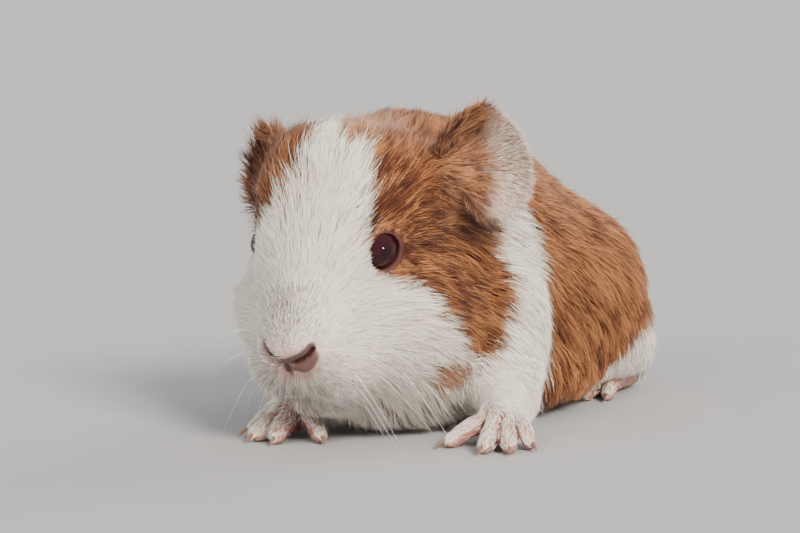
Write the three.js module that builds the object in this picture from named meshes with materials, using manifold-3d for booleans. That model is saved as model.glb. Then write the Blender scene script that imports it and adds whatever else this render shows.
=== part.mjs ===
// A young short-haired guinea pig at rest, life size, as a still museum model in named pieces.
//
// Millimetres, +Z up. The animal looks along -Y and its left side is +X. It sits low on its
// belly and four feet, the head turned a little to its left and tipped down.
//
// The body is one smooth form, a blend of ellipsoids, wrapped in a skin of rings and spokes and
// then parted by thin cuts into head, neck, torso and limbs. The outline is that of the coat.
import * as THREE from "three";
import { mergeVertices } from "three/addons/utils/BufferGeometryUtils.js";
import Module from "manifold-3d";

const { Vector3, Matrix4, Euler, MathUtils } = THREE;
const wasm = await Module();
wasm.setup();

// ---------------------------------------------------------------- driving dimensions

const GAP = 0.3; // between pieces that touch
const SIDES = { left: 1, right: -1 };

// The head's own frame has its origin at the nose tip, the nose along -Y and the crown along +Z.
const HEAD = {
  nose: [-3, -79, 23.5], // where the nose tip is on the animal
  pitch: 34, // degrees, nose down
  yaw: 4, // to the animal's left
};

const EYE = {
  middle: [13.2, 26.5, 12], // on the left of the head, in the head's frame
  ball: 5.4,
  lid: 0.7, // thickness of the lids over the ball
  opening: [4.6, 4.4], // half width and half height between the lids
  outward: 62, // degrees from straight ahead that the eye looks
  upward: 8,
};

// The outline of an ear in its own plane, outwards and upwards from the middle of its root.
const EAR = {
  outline: [
    [-5, 8], [-1, 13.5], [5.5, 17.5], [11.5, 14.5], [16, 8.5], [18, 1],
    [17.5, -6], [12.5, -11], [6, -10.5], [1, -5], [-4, 1],
  ],
  middle: [7, 2],
  thickness: 1.3,
  rim: 0.8,
  cup: 4.5, // how far the rim stands forward of the middle
  fold: 3.5, // how much further the front margin rolls over
  base: [[4, 2.4, 0.5, 2.2], [-0.5, 2, -0.8, 4.2], [-7.4, 1.5, -2.7, 6.5]], // x, y, z, radius
};
// Where the root is in the head's frame, and in degrees how far the ear faces outwards and droops.
const EARS = {
  left: { root: [25.5, 54, 14], face: 25, droop: 0 },
  right: { root: [-19.8, 53, 7.8], face: 29, droop: -15 },
};

// Where each wrist stands, which way the paw points in degrees outwards from straight ahead.
const FORE_PAWS = {
  left: { wrist: [32, -37.5], heading: 12 },
  right: { wrist: [-18.5, -51.5], heading: -10 },
};
const FORE_DIGITS = [
  { splay: -38, length: 19.5, radius: 2.3 },
  { splay: -3, length: 20.5, radius: 2.4 },
  { splay: 16, length: 19.5, radius: 2.4 },
  { splay: 38, length: 15.5, radius: 2.2 },
];
const HIND_PAWS = {
  left: { wrist: [26.5, 47], heading: -2 },
  right: { wrist: [-26.5, 47], heading: -2 },
};
const HIND_DIGITS = [
  { splay: -12, length: 24.5, radius: 2.3 },
  { splay: 1, length: 27, radius: 2.4 },
  { splay: 14, length: 24, radius: 2.3 },
];

// ---------------------------------------------------------------- blended forms

const turned = ([x, y, z]) =>
  new Matrix4().makeRotationFromEuler(
    new Euler(MathUtils.degToRad(x), MathUtils.degToRad(y), MathUtils.degToRad(z), "ZXY"),
  );

// An ellipsoid of the form: its middle, its three radii and its turn in degrees.
const blob = (middle, radii, turn = [0, 0, 0]) => ({
  radii,
  place: turned(turn).setPosition(...middle),
});

// The same ellipsoid on the left and on the right.
const pair = ([x, y, z], radii, [tx, ty, tz] = [0, 0, 0]) => [
  blob([x, y, z], radii, [tx, ty, tz]),
  blob([-x, y, z], radii, [tx, -ty, -tz]),
];

const moved = (blobs, matrix) =>
  blobs.map(({ radii, place }) => ({ radii, place: matrix.clone().multiply(place) }));

// Distance-like value of a blend of ellipsoids: negative inside, and smooth where they meet.
function blendOf(blobs, softness) {
  const parts = blobs.map(({ radii, place }) => ({ radii, inverse: place.clone().invert() }));
  const q = new Vector3();
  return (p) => {
    let value = Infinity;
    for (const { radii, inverse } of parts) {
      q.copy(p).applyMatrix4(inverse);
      const [u, v, w] = [q.x / radii[0], q.y / radii[1], q.z / radii[2]];
      const near = Math.hypot(u, v, w);
      const slope = Math.hypot(u / radii[0], v / radii[1], w / radii[2]) || 1;
      const one = (near * (near - 1)) / slope;
      const mix = Math.max(softness - Math.abs(value - one), 0) / softness;
      value = Math.min(value, one) - (value === Infinity ? 0 : (mix * mix * softness) / 4);
    }
    return value;
  };
}

// ---------------------------------------------------------------- solids

function solid(geometry) {
  const bare = geometry.clone();
  bare.deleteAttribute("normal");
  bare.deleteAttribute("uv");
  const merged = mergeVertices(bare, 1e-4);
  return new wasm.Manifold(
    new wasm.Mesh({
      numProp: 3,
      vertProperties: merged.attributes.position.array,
      triVerts: new Uint32Array(merged.index.array),
    }),
  );
}

// The largest closed surface of a solid, as a geometry.
function geometryOf(manifold) {
  const [largest] = manifold.decompose().sort((a, b) => b.volume() - a.volume());
  const mesh = largest.getMesh();
  return new THREE.BufferGeometry()
    .setAttribute("position", new THREE.BufferAttribute(mesh.vertProperties, 3))
    .setIndex(new THREE.BufferAttribute(mesh.triVerts, 1));
}

// Closes a grid of rings, each a loop of as many points, with a point at either end. From the
// ring turnAt on, the squares are split along their other diagonal.
function skinOf(first, rings, last, turnAt = Infinity) {
  const spokes = rings[0].length;
  const points = [first, ...rings.flat(), last];
  const at = (ring, spoke) => 1 + ring * spokes + (spoke % spokes);
  const faces = [];
  for (let s = 0; s < spokes; s++) {
    faces.push(0, at(0, s + 1), at(0, s));
    faces.push(points.length - 1, at(rings.length - 1, s), at(rings.length - 1, s + 1));
    for (let r = 0; r < rings.length - 1; r++) {
      const [a, b, c, d] = [at(r, s), at(r, s + 1), at(r + 1, s + 1), at(r + 1, s)];
      if (r < turnAt) faces.push(a, b, c, a, c, d);
      else faces.push(a, b, d, b, c, d);
    }
  }
  return new THREE.BufferGeometry().setFromPoints(points).setIndex(faces);
}

// Wraps a blended form round a spine. Rays leave the spine square to it, fan out over each end,
// and stop at the surface of the form, moved outwards by the margin.
function wrap(value, spine, { rings, spokes, fan }, margin = 0) {
  const surface = (from, way) => {
    const p = new Vector3();
    const at = (s) => value(p.copy(from).addScaledVector(way, s)) - margin;
    let outer = 0;
    while (at(outer) < 0) outer += Math.max(0.4, -0.6 * at(outer));
    let inner = Math.max(0, outer - 12);
    for (let i = 0; i < 22; i++) {
      const half = (inner + outer) / 2;
      if (at(half) < 0) inner = half;
      else outer = half;
    }
    return from.clone().addScaledVector(way, outer);
  };
  const ring = (t, lean) => {
    const from = spine.getPointAt(t);
    const along = spine.getTangentAt(t);
    const up = new Vector3(0, 0, 1).addScaledVector(along, -along.z).normalize();
    const side = along.clone().cross(up);
    return Array.from({ length: spokes }, (_, s) => {
      const angle = (2 * Math.PI * s) / spokes;
      const way = up.clone().multiplyScalar(Math.cos(angle));
      way.addScaledVector(side, Math.sin(angle)).multiplyScalar(Math.cos(lean));
      return surface(from, way.addScaledVector(along, Math.sin(lean)));
    });
  };
  const loops = [];
  for (let i = 1; i < fan; i++) loops.push(ring(0, (Math.PI / 2) * (i / fan - 1)));
  for (let i = 0; i <= rings; i++) loops.push(ring(i / rings, 0));
  for (let i = 1; i < fan; i++) loops.push(ring(1, (Math.PI / 2) * (i / fan)));
  const pole = (t, sign) => surface(spine.getPointAt(t), spine.getTangentAt(t).multiplyScalar(sign));
  return solid(skinOf(pole(0, -1), loops, pole(1, 1)));
}

const curve = (points) => new THREE.CatmullRomCurve3(points.map((p) => new Vector3(...p)));

// A round limb through joints of [x, y, z, radius], with rounded ends; flat squashes its height.
function limb(joints, { sides = 12, steps = 10, flat = 1, grown = 0 } = {}) {
  const path = curve(joints.map(([x, y, z]) => [x, y, z]));
  const widths = curve(joints.map(([, , , radius], i) => [radius + grown, i, 0]));
  const loop = (t, shrink, push) => {
    const along = path.getTangent(t);
    const side = new Vector3(0, 0, 1).cross(along);
    if (side.lengthSq() < 1e-6) side.set(1, 0, 0);
    side.normalize();
    const up = along.clone().cross(side);
    const radius = widths.getPoint(t).x;
    const middle = path.getPoint(t).addScaledVector(along, push * radius);
    return Array.from({ length: sides }, (_, s) => {
      const angle = (2 * Math.PI * s) / sides;
      return middle
        .clone()
        .addScaledVector(side, shrink * radius * Math.cos(angle))
        .addScaledVector(up, flat * shrink * radius * Math.sin(angle));
    });
  };
  const caps = sides > 8 ? 3 : 2;
  const ends = Array.from({ length: caps - 1 }, (_, i) => ((i + 1) * Math.PI) / 2 / caps);
  const loops = [
    ...ends.toReversed().map((a) => loop(0, Math.cos(a), -Math.sin(a))),
    ...Array.from({ length: steps + 1 }, (_, i) => loop(i / steps, 1, 0)),
    ...ends.map((a) => loop(1, Math.cos(a), Math.sin(a))),
  ];
  const tip = (t, sign) =>
    path.getPoint(t).addScaledVector(path.getTangent(t), sign * widths.getPoint(t).x);
  return solid(skinOf(tip(0, -1), loops, tip(1, 1)));
}

const joined = (...solids) => wasm.Manifold.union(solids);

// All of space beyond a plane, on the side that its normal points to.
function beyond(point, normal) {
  const reach = 400;
  const box = new THREE.BoxGeometry(reach, reach, reach).translate(0, 0, reach / 2);
  const turn = new THREE.Quaternion();
  turn.setFromUnitVectors(new Vector3(0, 0, 1), new Vector3(...normal).normalize());
  return solid(box.applyQuaternion(turn).translate(...point));
}

const ball = (middle, radii) =>
  solid(new THREE.SphereGeometry(1, 18, 11).scale(...radii).translate(...middle));

const floor = beyond([0, 0, 0], [0, 0, -1]);
const moveBy = (manifold, matrix) => manifold.transform(matrix.elements);

// ---------------------------------------------------------------- the body as one form

const headPlace = turned([HEAD.pitch, 0, HEAD.yaw]).setPosition(...HEAD.nose);

// How far the nose and the lips turn to the animal's right, in millimetres.
const SNOUT_TURN = -2;

const headBlobs = moved(
  [
    blob([0, 42, 10.5], [23.5, 21, 23]), // cranium
    blob([0, 28, 8], [14.5, 17, 13.5]), // forehead
    blob([-0.7, 17, 1.5], [12.5, 16, 10.5]), // bridge of the snout
    blob([-1.4, 9.6, -6.4], [11.8, 9.2, 9.6]), // muzzle
    blob([6.8, 10.6, -8.8], [8.5, 8, 7.5]), // left whisker pad
    blob([-9.4, 10.6, -8.8], [8.5, 8, 7.5]), // right whisker pad
    blob([SNOUT_TURN, 5.2, -0.6], [4.6, 3.6, 3.4]), // nose
    blob([SNOUT_TURN, 8, -14.6], [4.5, 6, 3.5]), // lower lip
    blob([-1, 14, -16], [8, 9, 6.5]), // chin
    ...pair([14, 30, -7], [13.5, 18, 14]), // cheeks
    ...pair([16.5, 36, -13], [14.5, 18, 14.5]), // jowls
    ...pair([10.5, 30, 13], [6.3, 11, 6.3]), // brows
  ],
  headPlace,
);

const bodyBlobs = [
  blob([-1, -25, 51], [25, 22, 28.7]), // nape
  blob([0, -8, 40], [30, 28, 35.5]), // shoulders
  blob([0, 6, 45], [18.5, 37, 27]), // spine
  blob([0, 14, 30], [36, 34, 29]), // ribs
  blob([0, 33, 28.5], [36, 34.5, 27.5]), // hips
  blob([-1, -42, 22], [25, 18, 20]), // chest
  blob([0, 5, 11], [36, 44, 14.5]), // belly
];

const form = blendOf([...bodyBlobs, ...headBlobs], 7);

const inHead = (point) => new Vector3(...point).applyMatrix4(headPlace);
const headSpine = new THREE.LineCurve3(inHead([0, 8, -3]), inHead([0, 46, 2]));
const trunkSpine = curve([[-2, -32, 40], [-1, -12, 41], [0, 10, 38], [0, 38, 34]]);
const HEAD_GRID = { rings: 12, spokes: 40, fan: 10 };
const TRUNK_GRID = { rings: 11, spokes: 36, fan: 8 };

const headWhole = (margin = 0) => wrap(form, headSpine, HEAD_GRID, margin);
const trunkWhole = (margin = 0) => wrap(form, trunkSpine, TRUNK_GRID, margin).subtract(floor);

// The cuts that part the head from the neck and the neck from the torso.
const HEAD_CUT = { point: [-2, -27, 78], normal: [0, 0.92, -0.39] };
const NECK_CUT = { point: [-1, -10, 78], normal: [0, 0.95, -0.3] };
const behind = ({ point: [x, y, z], normal }, gap) => beyond([x, y + gap, z], normal);

// ---------------------------------------------------------------- eyes and lids

function eyeFrame(side) {
  const turn = turned([-EYE.upward, 0, EYE.outward * SIDES[side]]);
  const [x, y, z] = EYE.middle;
  return turn.setPosition(x * SIDES[side], y, z).premultiply(headPlace);
}

const eyeBall = (side) => moveBy(ball([0, 0, 0], [EYE.ball, EYE.ball, EYE.ball]), eyeFrame(side));

// The bulge of the lids, the hollow for the eye, and the opening that leaves two lids.
function lidForms(side) {
  const socket = EYE.ball + GAP;
  const bulge = socket + EYE.lid;
  const [wide, high] = EYE.opening;
  const opening = new THREE.CylinderGeometry(1, 1, 3 * bulge, 28).scale(wide, 1, high);
  return {
    bulge: moveBy(ball([0, 0, 0], [bulge, bulge, bulge]), eyeFrame(side)),
    hollow: moveBy(
      ball([0, 0, 0], [socket, socket, socket]).add(solid(opening.translate(0, -1.5 * bulge, 0))),
      eyeFrame(side),
    ),
  };
}

// ---------------------------------------------------------------- nose and mouth

// The point of the snout at x and z in the head's frame, sunk into it by a depth.
function onFace([across, z, sunk]) {
  const x = across + SNOUT_TURN;
  let [outside, inside] = [-8, 25];
  for (let i = 0; i < 24; i++) {
    const half = (outside + inside) / 2;
    if (form(inHead([x, half, z])) < 0) inside = half;
    else outside = half;
  }
  return [x, inside + sunk, z];
}

const groove = (points, radius) =>
  limb(points.map((each, i) => [...onFace(each), radius[i]]), { sides: 6, steps: 6 });
const nostril = (side) =>
  groove([[side, -1.4, 0], [side * 3.2, -0.6, 0.2], [side * 4.6, 1.2, 0]], [0.45, 0.85, 0.5]);
const lipCleft = () => groove([[0, -3, 0], [0, -7, 0], [0, -11, 0.2]], [0.35, 0.5, 0.6]);
const mouth = () =>
  groove(
    [[-6.5, -14.3, 0], [-3, -12.6, 0], [0, -11.4, 0], [3, -12.6, 0], [6.5, -14.3, 0]],
    [0.3, 0.6, 0.7, 0.6, 0.3],
  );
const snoutGrooves = () => joined(nostril(1), nostril(-1), lipCleft(), mouth());

// ---------------------------------------------------------------- ears

function earWhole(side) {
  const spokes = 26;
  const circles = 4;
  const rim = new THREE.CatmullRomCurve3(
    EAR.outline.map(([out, up]) => new Vector3(out, 0, up)),
    true,
  );
  const middle = new Vector3(EAR.middle[0], 0, EAR.middle[1]);
  const sheet = (share, spoke, thick) => {
    const p = middle.clone().lerp(rim.getPoint(spoke / spokes), share);
    const front = Math.max(0, (p.z - 5) / 10) * Math.max(0, (14 - p.x) / 14);
    const forward = EAR.cup * share * share + EAR.fold * front * share;
    p.y = -forward + thick;
    return p;
  };
  const thickness = (share) => MathUtils.lerp(EAR.thickness, EAR.rim, share * share) / 2;
  const face = (sign) =>
    Array.from({ length: circles }, (_, i) => {
      const share = (i + 1) / circles;
      return Array.from({ length: spokes }, (_, s) => sheet(share, s, sign * thickness(share)));
    });
  const front = face(-1);
  const back = face(1).toReversed();
  const poles = [-1, 1].map((sign) => sheet(0, 0, sign * thickness(0)));
  const skin = skinOf(poles[0], [...front, ...back], poles[1], circles);
  const { root, face: outward, droop } = EARS[side];
  const place = turned([0, 0, outward * SIDES[side] + HEAD.yaw])
    .setPosition(inHead(root))
    .multiply(new Matrix4().makeScale(SIDES[side], 1, 1))
    .multiply(turned([0, droop, 0]));
  return moveBy(solid(skin).add(limb(EAR.base, { sides: 10, steps: 4 })), place);
}

// ---------------------------------------------------------------- limbs, paws and claws

// Carries a point of a paw's own frame, toes along -Y and the outer side +X, to the animal.
function pawFrame(side, { wrist: [x, y], heading }) {
  const mirror = new Matrix4().makeScale(SIDES[side], 1, 1);
  const turn = turned([0, 0, heading * SIDES[side]]);
  return turn.setPosition(x, y, 0).multiply(mirror);
}

// One digit: out of the palm, over the knuckle and down to its tip on the floor.
function digit({ splay, length, radius }, { start, knuckle }, { grown, steps = 4, reach = 0 }) {
  const angle = MathUtils.degToRad(splay);
  const at = (share, z, r) => {
    const along = MathUtils.lerp(start, length + reach - radius, share);
    return [along * Math.sin(angle), -along * Math.cos(angle), z, r];
  };
  return limb(
    [
      at(0, 4.8, radius * 1.15),
      at(0.42, knuckle, radius * 1.1),
      at(0.78, 2.4, radius * 0.98),
      at(1, 1.7, radius * 0.88),
    ],
    { sides: 6, steps, grown },
  );
}

function claw({ splay, length, radius }, { reach }) {
  const angle = MathUtils.degToRad(splay);
  const at = (along, z, r) => [along * Math.sin(angle), -along * Math.cos(angle), z, r];
  return limb(
    [
      at(length - radius, 2, 0.75),
      at(length + 0.4 * reach, 1.7, 0.5),
      at(length + reach, 0.7, 0.2),
    ],
    { sides: 5, steps: 3 },
  );
}

// A paw in its own frame, made from the joints of its palm, its digits, the distance at which
// they leave the palm, the height of their knuckles and the reach of their claws. Its room is
// what the body leaves free for it.
function pawForms(shape) {
  const { palm, flat, digits } = shape;
  const foot = (grown, finesse) =>
    joined(
      limb(palm, { sides: 12, steps: 4, flat, grown }),
      ...digits.map((each) => digit(each, shape, { grown, ...finesse })),
    );
  return {
    foot: foot(0),
    room: foot(2 * GAP, { steps: 2, reach: shape.reach + 1 }),
    claws: digits.map((each) =>
      claw(each, shape).subtract(digit(each, shape, { grown: GAP })).subtract(floor),
    ),
  };
}

const forePaw = pawForms({
  palm: [[0, 3, 8, 5.6], [0, -2, 6.2, 6], [0, -6, 5, 5.4]],
  flat: 0.82,
  digits: FORE_DIGITS,
  start: 6,
  knuckle: 4.6,
  reach: 1.7,
});
const hindPaw = pawForms({
  palm: [[0, 1, 4.4, 4.6], [0, -8, 4.2, 4.4], [0, -14, 4, 5]],
  flat: 0.9,
  digits: HIND_DIGITS,
  start: 14,
  knuckle: 4.2,
  reach: 2.2,
});

// The flesh of each limb, a blend wrapped round its own spine, and the shank down to its paw.
const LIMBS = {
  fore: {
    paws: FORE_PAWS,
    paw: forePaw,
    wristHeight: 8.5,
    flesh: {
      left: [blob([21.5, -22, 25], [13, 16, 19]), blob([27, -31, 14], [9, 11, 12])],
      right: [blob([-21.5, -26, 25], [13, 17, 19]), blob([-19, -44, 14], [9, 11, 12])],
    },
    spines: {
      left: [[21.5, -21, 28], [26, -29, 16]],
      right: [[-21.5, -24, 28], [-19.5, -41, 16]],
    },
    shank: ([x, y], out) => [[x - 2 * out, y + 8, 16, 7.4], [x - out, y + 5, 13, 7.2], [x, y + 2, 9, 6.4]],
  },
  hind: {
    paws: HIND_PAWS,
    paw: hindPaw,
    wristHeight: 6.5,
    flesh: {
      left: [blob([24, 27, 22], [15, 22, 20]), blob([28, 38, 13], [10, 13, 11])],
      right: [blob([-24, 27, 22], [15, 22, 20]), blob([-28, 38, 13], [10, 13, 11])],
    },
    spines: {
      left: [[24, 22, 24], [27, 37, 16]],
      right: [[-24, 22, 24], [-27, 37, 16]],
    },
    shank: ([x, y], out) => [[x - 3 * out, y - 9, 15, 7.4], [x - out, y - 3, 9, 6.2], [x, y, 6, 5.2]],
  },
};
const LIMB_GRID = { rings: 5, spokes: 20, fan: 5 };

function limbForms(kind, side) {
  const { paws, paw, wristHeight, flesh, spines, shank } = LIMBS[kind];
  const place = paws[side];
  const frame = pawFrame(side, place);
  const joints = shank(place.wrist, SIDES[side]);
  const lower = (foot, grown) =>
    joined(limb(joints, { sides: 14, steps: 4, grown }), moveBy(foot, frame));
  const upper = (margin) => wrap(blendOf(flesh[side], 5), curve(spines[side]), LIMB_GRID, margin);
  return {
    leg: upper(0).add(lower(paw.foot, 0)).subtract(beyond([0, 0, wristHeight + GAP], [0, 0, -1])),
    foot: lower(paw.foot, 0).subtract(beyond([0, 0, wristHeight], [0, 0, 1])).subtract(floor),
    claws: paw.claws.map((each) => moveBy(each, frame)),
    room: upper(GAP).add(lower(paw.room, GAP)),
  };
}

// ---------------------------------------------------------------- materials

const finish = (color, roughness) => new THREE.MeshStandardMaterial({ color, roughness, metalness: 0 });
const WHITE_COAT = finish(0xe9e2da, 0.85);
const RED_COAT = finish(0xa9683f, 0.8);
const EAR_SKIN = finish(0xc9a695, 0.6);
const PAW_SKIN = finish(0xc99d90, 0.6);
const EYE_RUBY = finish(0x3d0c14, 0.08);
const HORN = finish(0xb08d7c, 0.4);

// ---------------------------------------------------------------- the animal

const animal = new THREE.Group();

function add(name, manifold, material) {
  const mesh = new THREE.Mesh(geometryOf(manifold), material);
  mesh.name = name;
  animal.add(mesh);
}

const trunk = trunkWhole();
let head = headWhole().subtract(floor).subtract(behind(HEAD_CUT, 0));
let neck = trunk.subtract(behind(NECK_CUT, 0)).intersect(behind(HEAD_CUT, GAP));
let torso = trunk.intersect(behind(NECK_CUT, GAP));

for (const side of Object.keys(SIDES)) {
  for (const kind of Object.keys(LIMBS)) {
    const { leg, foot, claws, room } = limbForms(kind, side);
    add(`${kind}leg_${side}`, leg, kind === "fore" ? WHITE_COAT : RED_COAT);
    add(`${kind}paw_${side}`, foot, PAW_SKIN);
    claws.forEach((each, i) => add(`claw_${kind}_${side}_${i + 1}`, each, HORN));
    torso = torso.subtract(room);
    if (kind === "fore") neck = neck.subtract(room);
    if (kind === "fore") head = head.subtract(room);
  }
}

const headSpace = headWhole(GAP);
for (const side of Object.keys(SIDES)) {
  const { bulge, hollow } = lidForms(side);
  head = head.add(bulge).subtract(hollow);
  add(`eye_${side}`, eyeBall(side), EYE_RUBY);
  add(`ear_${side}`, earWhole(side).subtract(headSpace), EAR_SKIN);
}
head = head.subtract(moveBy(snoutGrooves(), headPlace));

add("head", head, WHITE_COAT);
add("neck", neck, WHITE_COAT);
add("torso", torso, RED_COAT);

// The origin is on the floor, below the middle of the animal's box.
const box = new THREE.Box3().setFromObject(animal);
animal.position.set(-(box.min.x + box.max.x) / 2, -(box.min.y + box.max.y) / 2, 0);

export default animal;
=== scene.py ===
# %% [markdown]
# # A young guinea pig
# A still, life-size museum model of a short-haired guinea pig about six weeks old, ginger and
# white, with ruby eyes. The solids give its measurements. Here it gets one seamless skin, a coat
# of separate hairs that follow the lie of real fur, eyes, whiskers and a quiet studio.
# Everything is in metres, +Z is up, the animal looks along -Y and its left side is +X.

import math

import bpy
import numpy as np
from mathutils import Matrix, Vector
from mathutils.bvhtree import BVHTree
from mathutils.kdtree import KDTree


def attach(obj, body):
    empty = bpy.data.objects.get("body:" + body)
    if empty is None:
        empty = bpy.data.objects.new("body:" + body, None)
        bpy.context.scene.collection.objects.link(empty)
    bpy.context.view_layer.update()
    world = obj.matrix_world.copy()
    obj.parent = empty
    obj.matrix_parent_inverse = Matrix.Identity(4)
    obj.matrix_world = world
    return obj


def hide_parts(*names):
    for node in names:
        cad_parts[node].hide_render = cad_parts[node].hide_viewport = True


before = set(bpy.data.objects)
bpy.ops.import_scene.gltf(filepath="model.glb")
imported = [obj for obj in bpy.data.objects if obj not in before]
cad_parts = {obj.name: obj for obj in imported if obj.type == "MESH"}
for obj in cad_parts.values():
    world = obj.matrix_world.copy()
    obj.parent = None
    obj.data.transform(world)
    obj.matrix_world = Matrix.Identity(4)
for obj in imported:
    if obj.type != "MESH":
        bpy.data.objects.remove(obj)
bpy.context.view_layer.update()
MM = 0.001
rng = np.random.default_rng(20)

# %% [markdown]
# ## Two ways to say where a thing is
# The trunk is measured from the floor below the middle of the animal. The head is turned and
# tipped, so eyes, nose and ears are easier to place in the head's own frame, with its origin at
# the nose tip, the nose along -Y and the crown along +Z. Both are in millimetres here.

# %% The trunk's and the head's frames
NOSE = np.array([-3, -79, 23.5])
PITCH, YAW = 34, 4
SIDES = {"left": 1, "right": -1}


def turn(axis, degrees):
    """A rotation matrix about one axis."""
    return np.array(Matrix.Rotation(math.radians(degrees), 3, axis))


HEAD_TURN = turn("Z", YAW) @ turn("X", PITCH)


def from_head(points):
    """Points in the head's frame, carried to the trunk's frame."""
    return np.asarray(points, float) @ HEAD_TURN.T + NOSE


def to_head(points):
    return (np.asarray(points, float) - NOSE) @ HEAD_TURN


# The left eyeball of the solids shows where the trunk's frame lies in the scene.
EYE = {"middle": np.array([13.2, 26.5, 12]), "ball": 5.4, "outward": 62, "upward": 8}
eyeball = np.array([v.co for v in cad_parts["eye_left"].data.vertices])
TRUNK_ORIGIN = (eyeball.min(0) + eyeball.max(0)) / 2 / MM - from_head(EYE["middle"])
TRUNK_ORIGIN[2] = 0


def to_scene(points):
    """Points in the trunk's frame, in metres from the scene's origin."""
    return (np.asarray(points, float) + TRUNK_ORIGIN) * MM


print("trunk origin at", TRUNK_ORIGIN.round(2), "mm, nose tip at", to_scene(NOSE).round(4), "m")

# %% [markdown]
# ## The camera
# A small animal is looked at from its own height, a little from its left, with a longish lens,
# so that the nose isn't swollen by being close. The camera comes first, because it shows at once
# whether the pieces that follow are the right size.

# %% Camera
AIM = Vector(to_scene([-2, -30, 40]))
AZIMUTH, ELEVATION = math.radians(29), math.radians(6.5)
DISTANCE, LENS = 0.560, 100

back = Vector((
    math.sin(AZIMUTH) * math.cos(ELEVATION),
    -math.cos(AZIMUTH) * math.cos(ELEVATION),
    math.sin(ELEVATION),
))
bpy.ops.object.camera_add(
    location=AIM + back * DISTANCE, rotation=(math.pi / 2 - ELEVATION, 0, AZIMUTH),
)
camera = bpy.context.object
camera.data.lens = LENS
camera.data.sensor_width = 36
camera.data.clip_start, camera.data.clip_end = 0.01, 200
bpy.context.scene.camera = camera
print("camera at", [round(v, 3) for v in camera.location])

# %% [markdown]
# ## Small tools for meshes
# Skins and coats have far too many points to move by hand, so their points go through arrays:
# read them all, work on them at once, and write them back.

# %% Reading and writing points
def array_of(collection, name, width, kind=np.float32):
    """One property of every vertex, edge or face of a mesh as an array of rows."""
    values = np.empty(len(collection) * width, kind)
    collection.foreach_get(name, values)
    return values.reshape(-1, width) if width > 1 else values


def unit(vectors):
    """The same directions with a length of 1."""
    return vectors / np.maximum(np.linalg.norm(vectors, axis=-1, keepdims=True), 1e-12)


def mesh_object(name, points, faces):
    """A new smooth object from arrays of points, in metres, and of faces with equal corners."""
    mesh = bpy.data.meshes.new(name)
    corners = faces.shape[1]
    mesh.vertices.add(len(points))
    mesh.vertices.foreach_set("co", points.astype(np.float32).ravel())
    mesh.loops.add(faces.size)
    mesh.loops.foreach_set("vertex_index", faces.astype(np.int32).ravel())
    mesh.polygons.add(len(faces))
    mesh.polygons.foreach_set("loop_start", np.arange(0, faces.size, corners, dtype=np.int32))
    mesh.update(calc_edges=True)
    mesh.polygons.foreach_set("use_smooth", np.full(len(faces), True))
    made = bpy.data.objects.new(name, mesh)
    bpy.context.scene.collection.objects.link(made)
    return made


def only(*objects):
    """Selects these objects and makes the last one active."""
    bpy.ops.object.select_all(action="DESELECT")
    for each in objects:
        each.select_set(True)
    bpy.context.view_layer.objects.active = objects[-1]


def spread(values, edges, rounds, hold=None):
    """Averages values over a mesh's edges, a few rounds; hold keeps the points where it is 1."""
    count = np.bincount(edges.ravel(), minlength=len(values))[:, None]
    flat = values.reshape(len(values), -1).astype(float)
    keep = 0 if hold is None else hold[:, None]
    for _ in range(rounds):
        total = np.empty_like(flat)
        for k in range(flat.shape[1]):
            total[:, k] = np.bincount(edges[:, 0], flat[edges[:, 1], k], len(flat))
            total[:, k] += np.bincount(edges[:, 1], flat[edges[:, 0], k], len(flat))
        flat = flat * keep + total / np.maximum(count, 1) * (1 - keep)
    return flat.reshape(values.shape)


def step(low, high, values):
    """0 below low, 1 above high, and a smooth rise between."""
    t = np.clip((values - low) / (high - low), 0, 1)
    return t * t * (3 - 2 * t)


def bell(distance, width):
    """1 at no distance, fading to 0 on both sides over about the width."""
    return np.exp(-((distance / width) ** 2))


def close_to(points, middle, radius):
    """1 at a place, fading to 0 all round it over about the radius."""
    return bell(np.linalg.norm(points - middle, axis=1), radius)


# %% [markdown]
# ## The ears
# A guinea pig's ear is a thin bare petal. Its front margin rolls over, its face is a shallow cup
# and its lower lobe hangs free. It could be pulled out of a flat disc by hand, but a sheet whose
# every point comes from the outline and two curves is quicker to get even. It is made a little
# thicker than life, and is fused with the rest of the skin below.

# %% The outline of an ear and its sheet
EAR_OUTLINE = np.array([
    [-5, 8], [-1, 13.5], [5.5, 17.5], [11.5, 14.5], [16, 8.5], [18, 1],
    [17.5, -6], [12.5, -11], [6, -10.5], [1, -5], [-4, 1],
], float)
EAR_MIDDLE = np.array([7, 2], float)
EARS = {
    "left": {"root": [25.5, 54, 14], "face": 25, "droop": 0},
    "right": {"root": [-19.8, 53, 7.8], "face": 29, "droop": -15},
}
EAR_SPOKES, EAR_CIRCLES = 72, 18
EAR_CUP, EAR_ROLL = 4.5, 3.5  # how far the rim and the front margin come forward
EAR_THICK, EAR_THINNING = 1.1, 0.4  # in the middle, and how much less at the rim
# Across and up, the skin stays inside the rim of the solid, by the depth of the ear's fur.
EAR_SKIN = {"left": (0.97, 0.95), "right": (0.92, 0.8)}


def closed_curve(knots, count):
    """Points on a smooth closed curve through the knots."""
    t = np.arange(count) * len(knots) / count
    i, f = t.astype(int), (t % 1)[:, None]
    p0, p1, p2, p3 = (knots[(i + k) % len(knots)] for k in (-1, 0, 1, 2))
    square, cube = 2 * p0 - 5 * p1 + 4 * p2 - p3, 3 * p1 - p0 - 3 * p2 + p3
    return 0.5 * (2 * p1 + (p2 - p0) * f + square * f**2 + cube * f**3)


def ear_place(side):
    """The turn and the place that carry an ear's own points to the trunk's frame."""
    at = EARS[side]
    flip = np.diag([SIDES[side], 1, 1])
    spin = turn("Z", at["face"] * SIDES[side] + YAW) @ flip @ turn("Y", at["droop"])
    return spin, from_head(at["root"])


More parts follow.
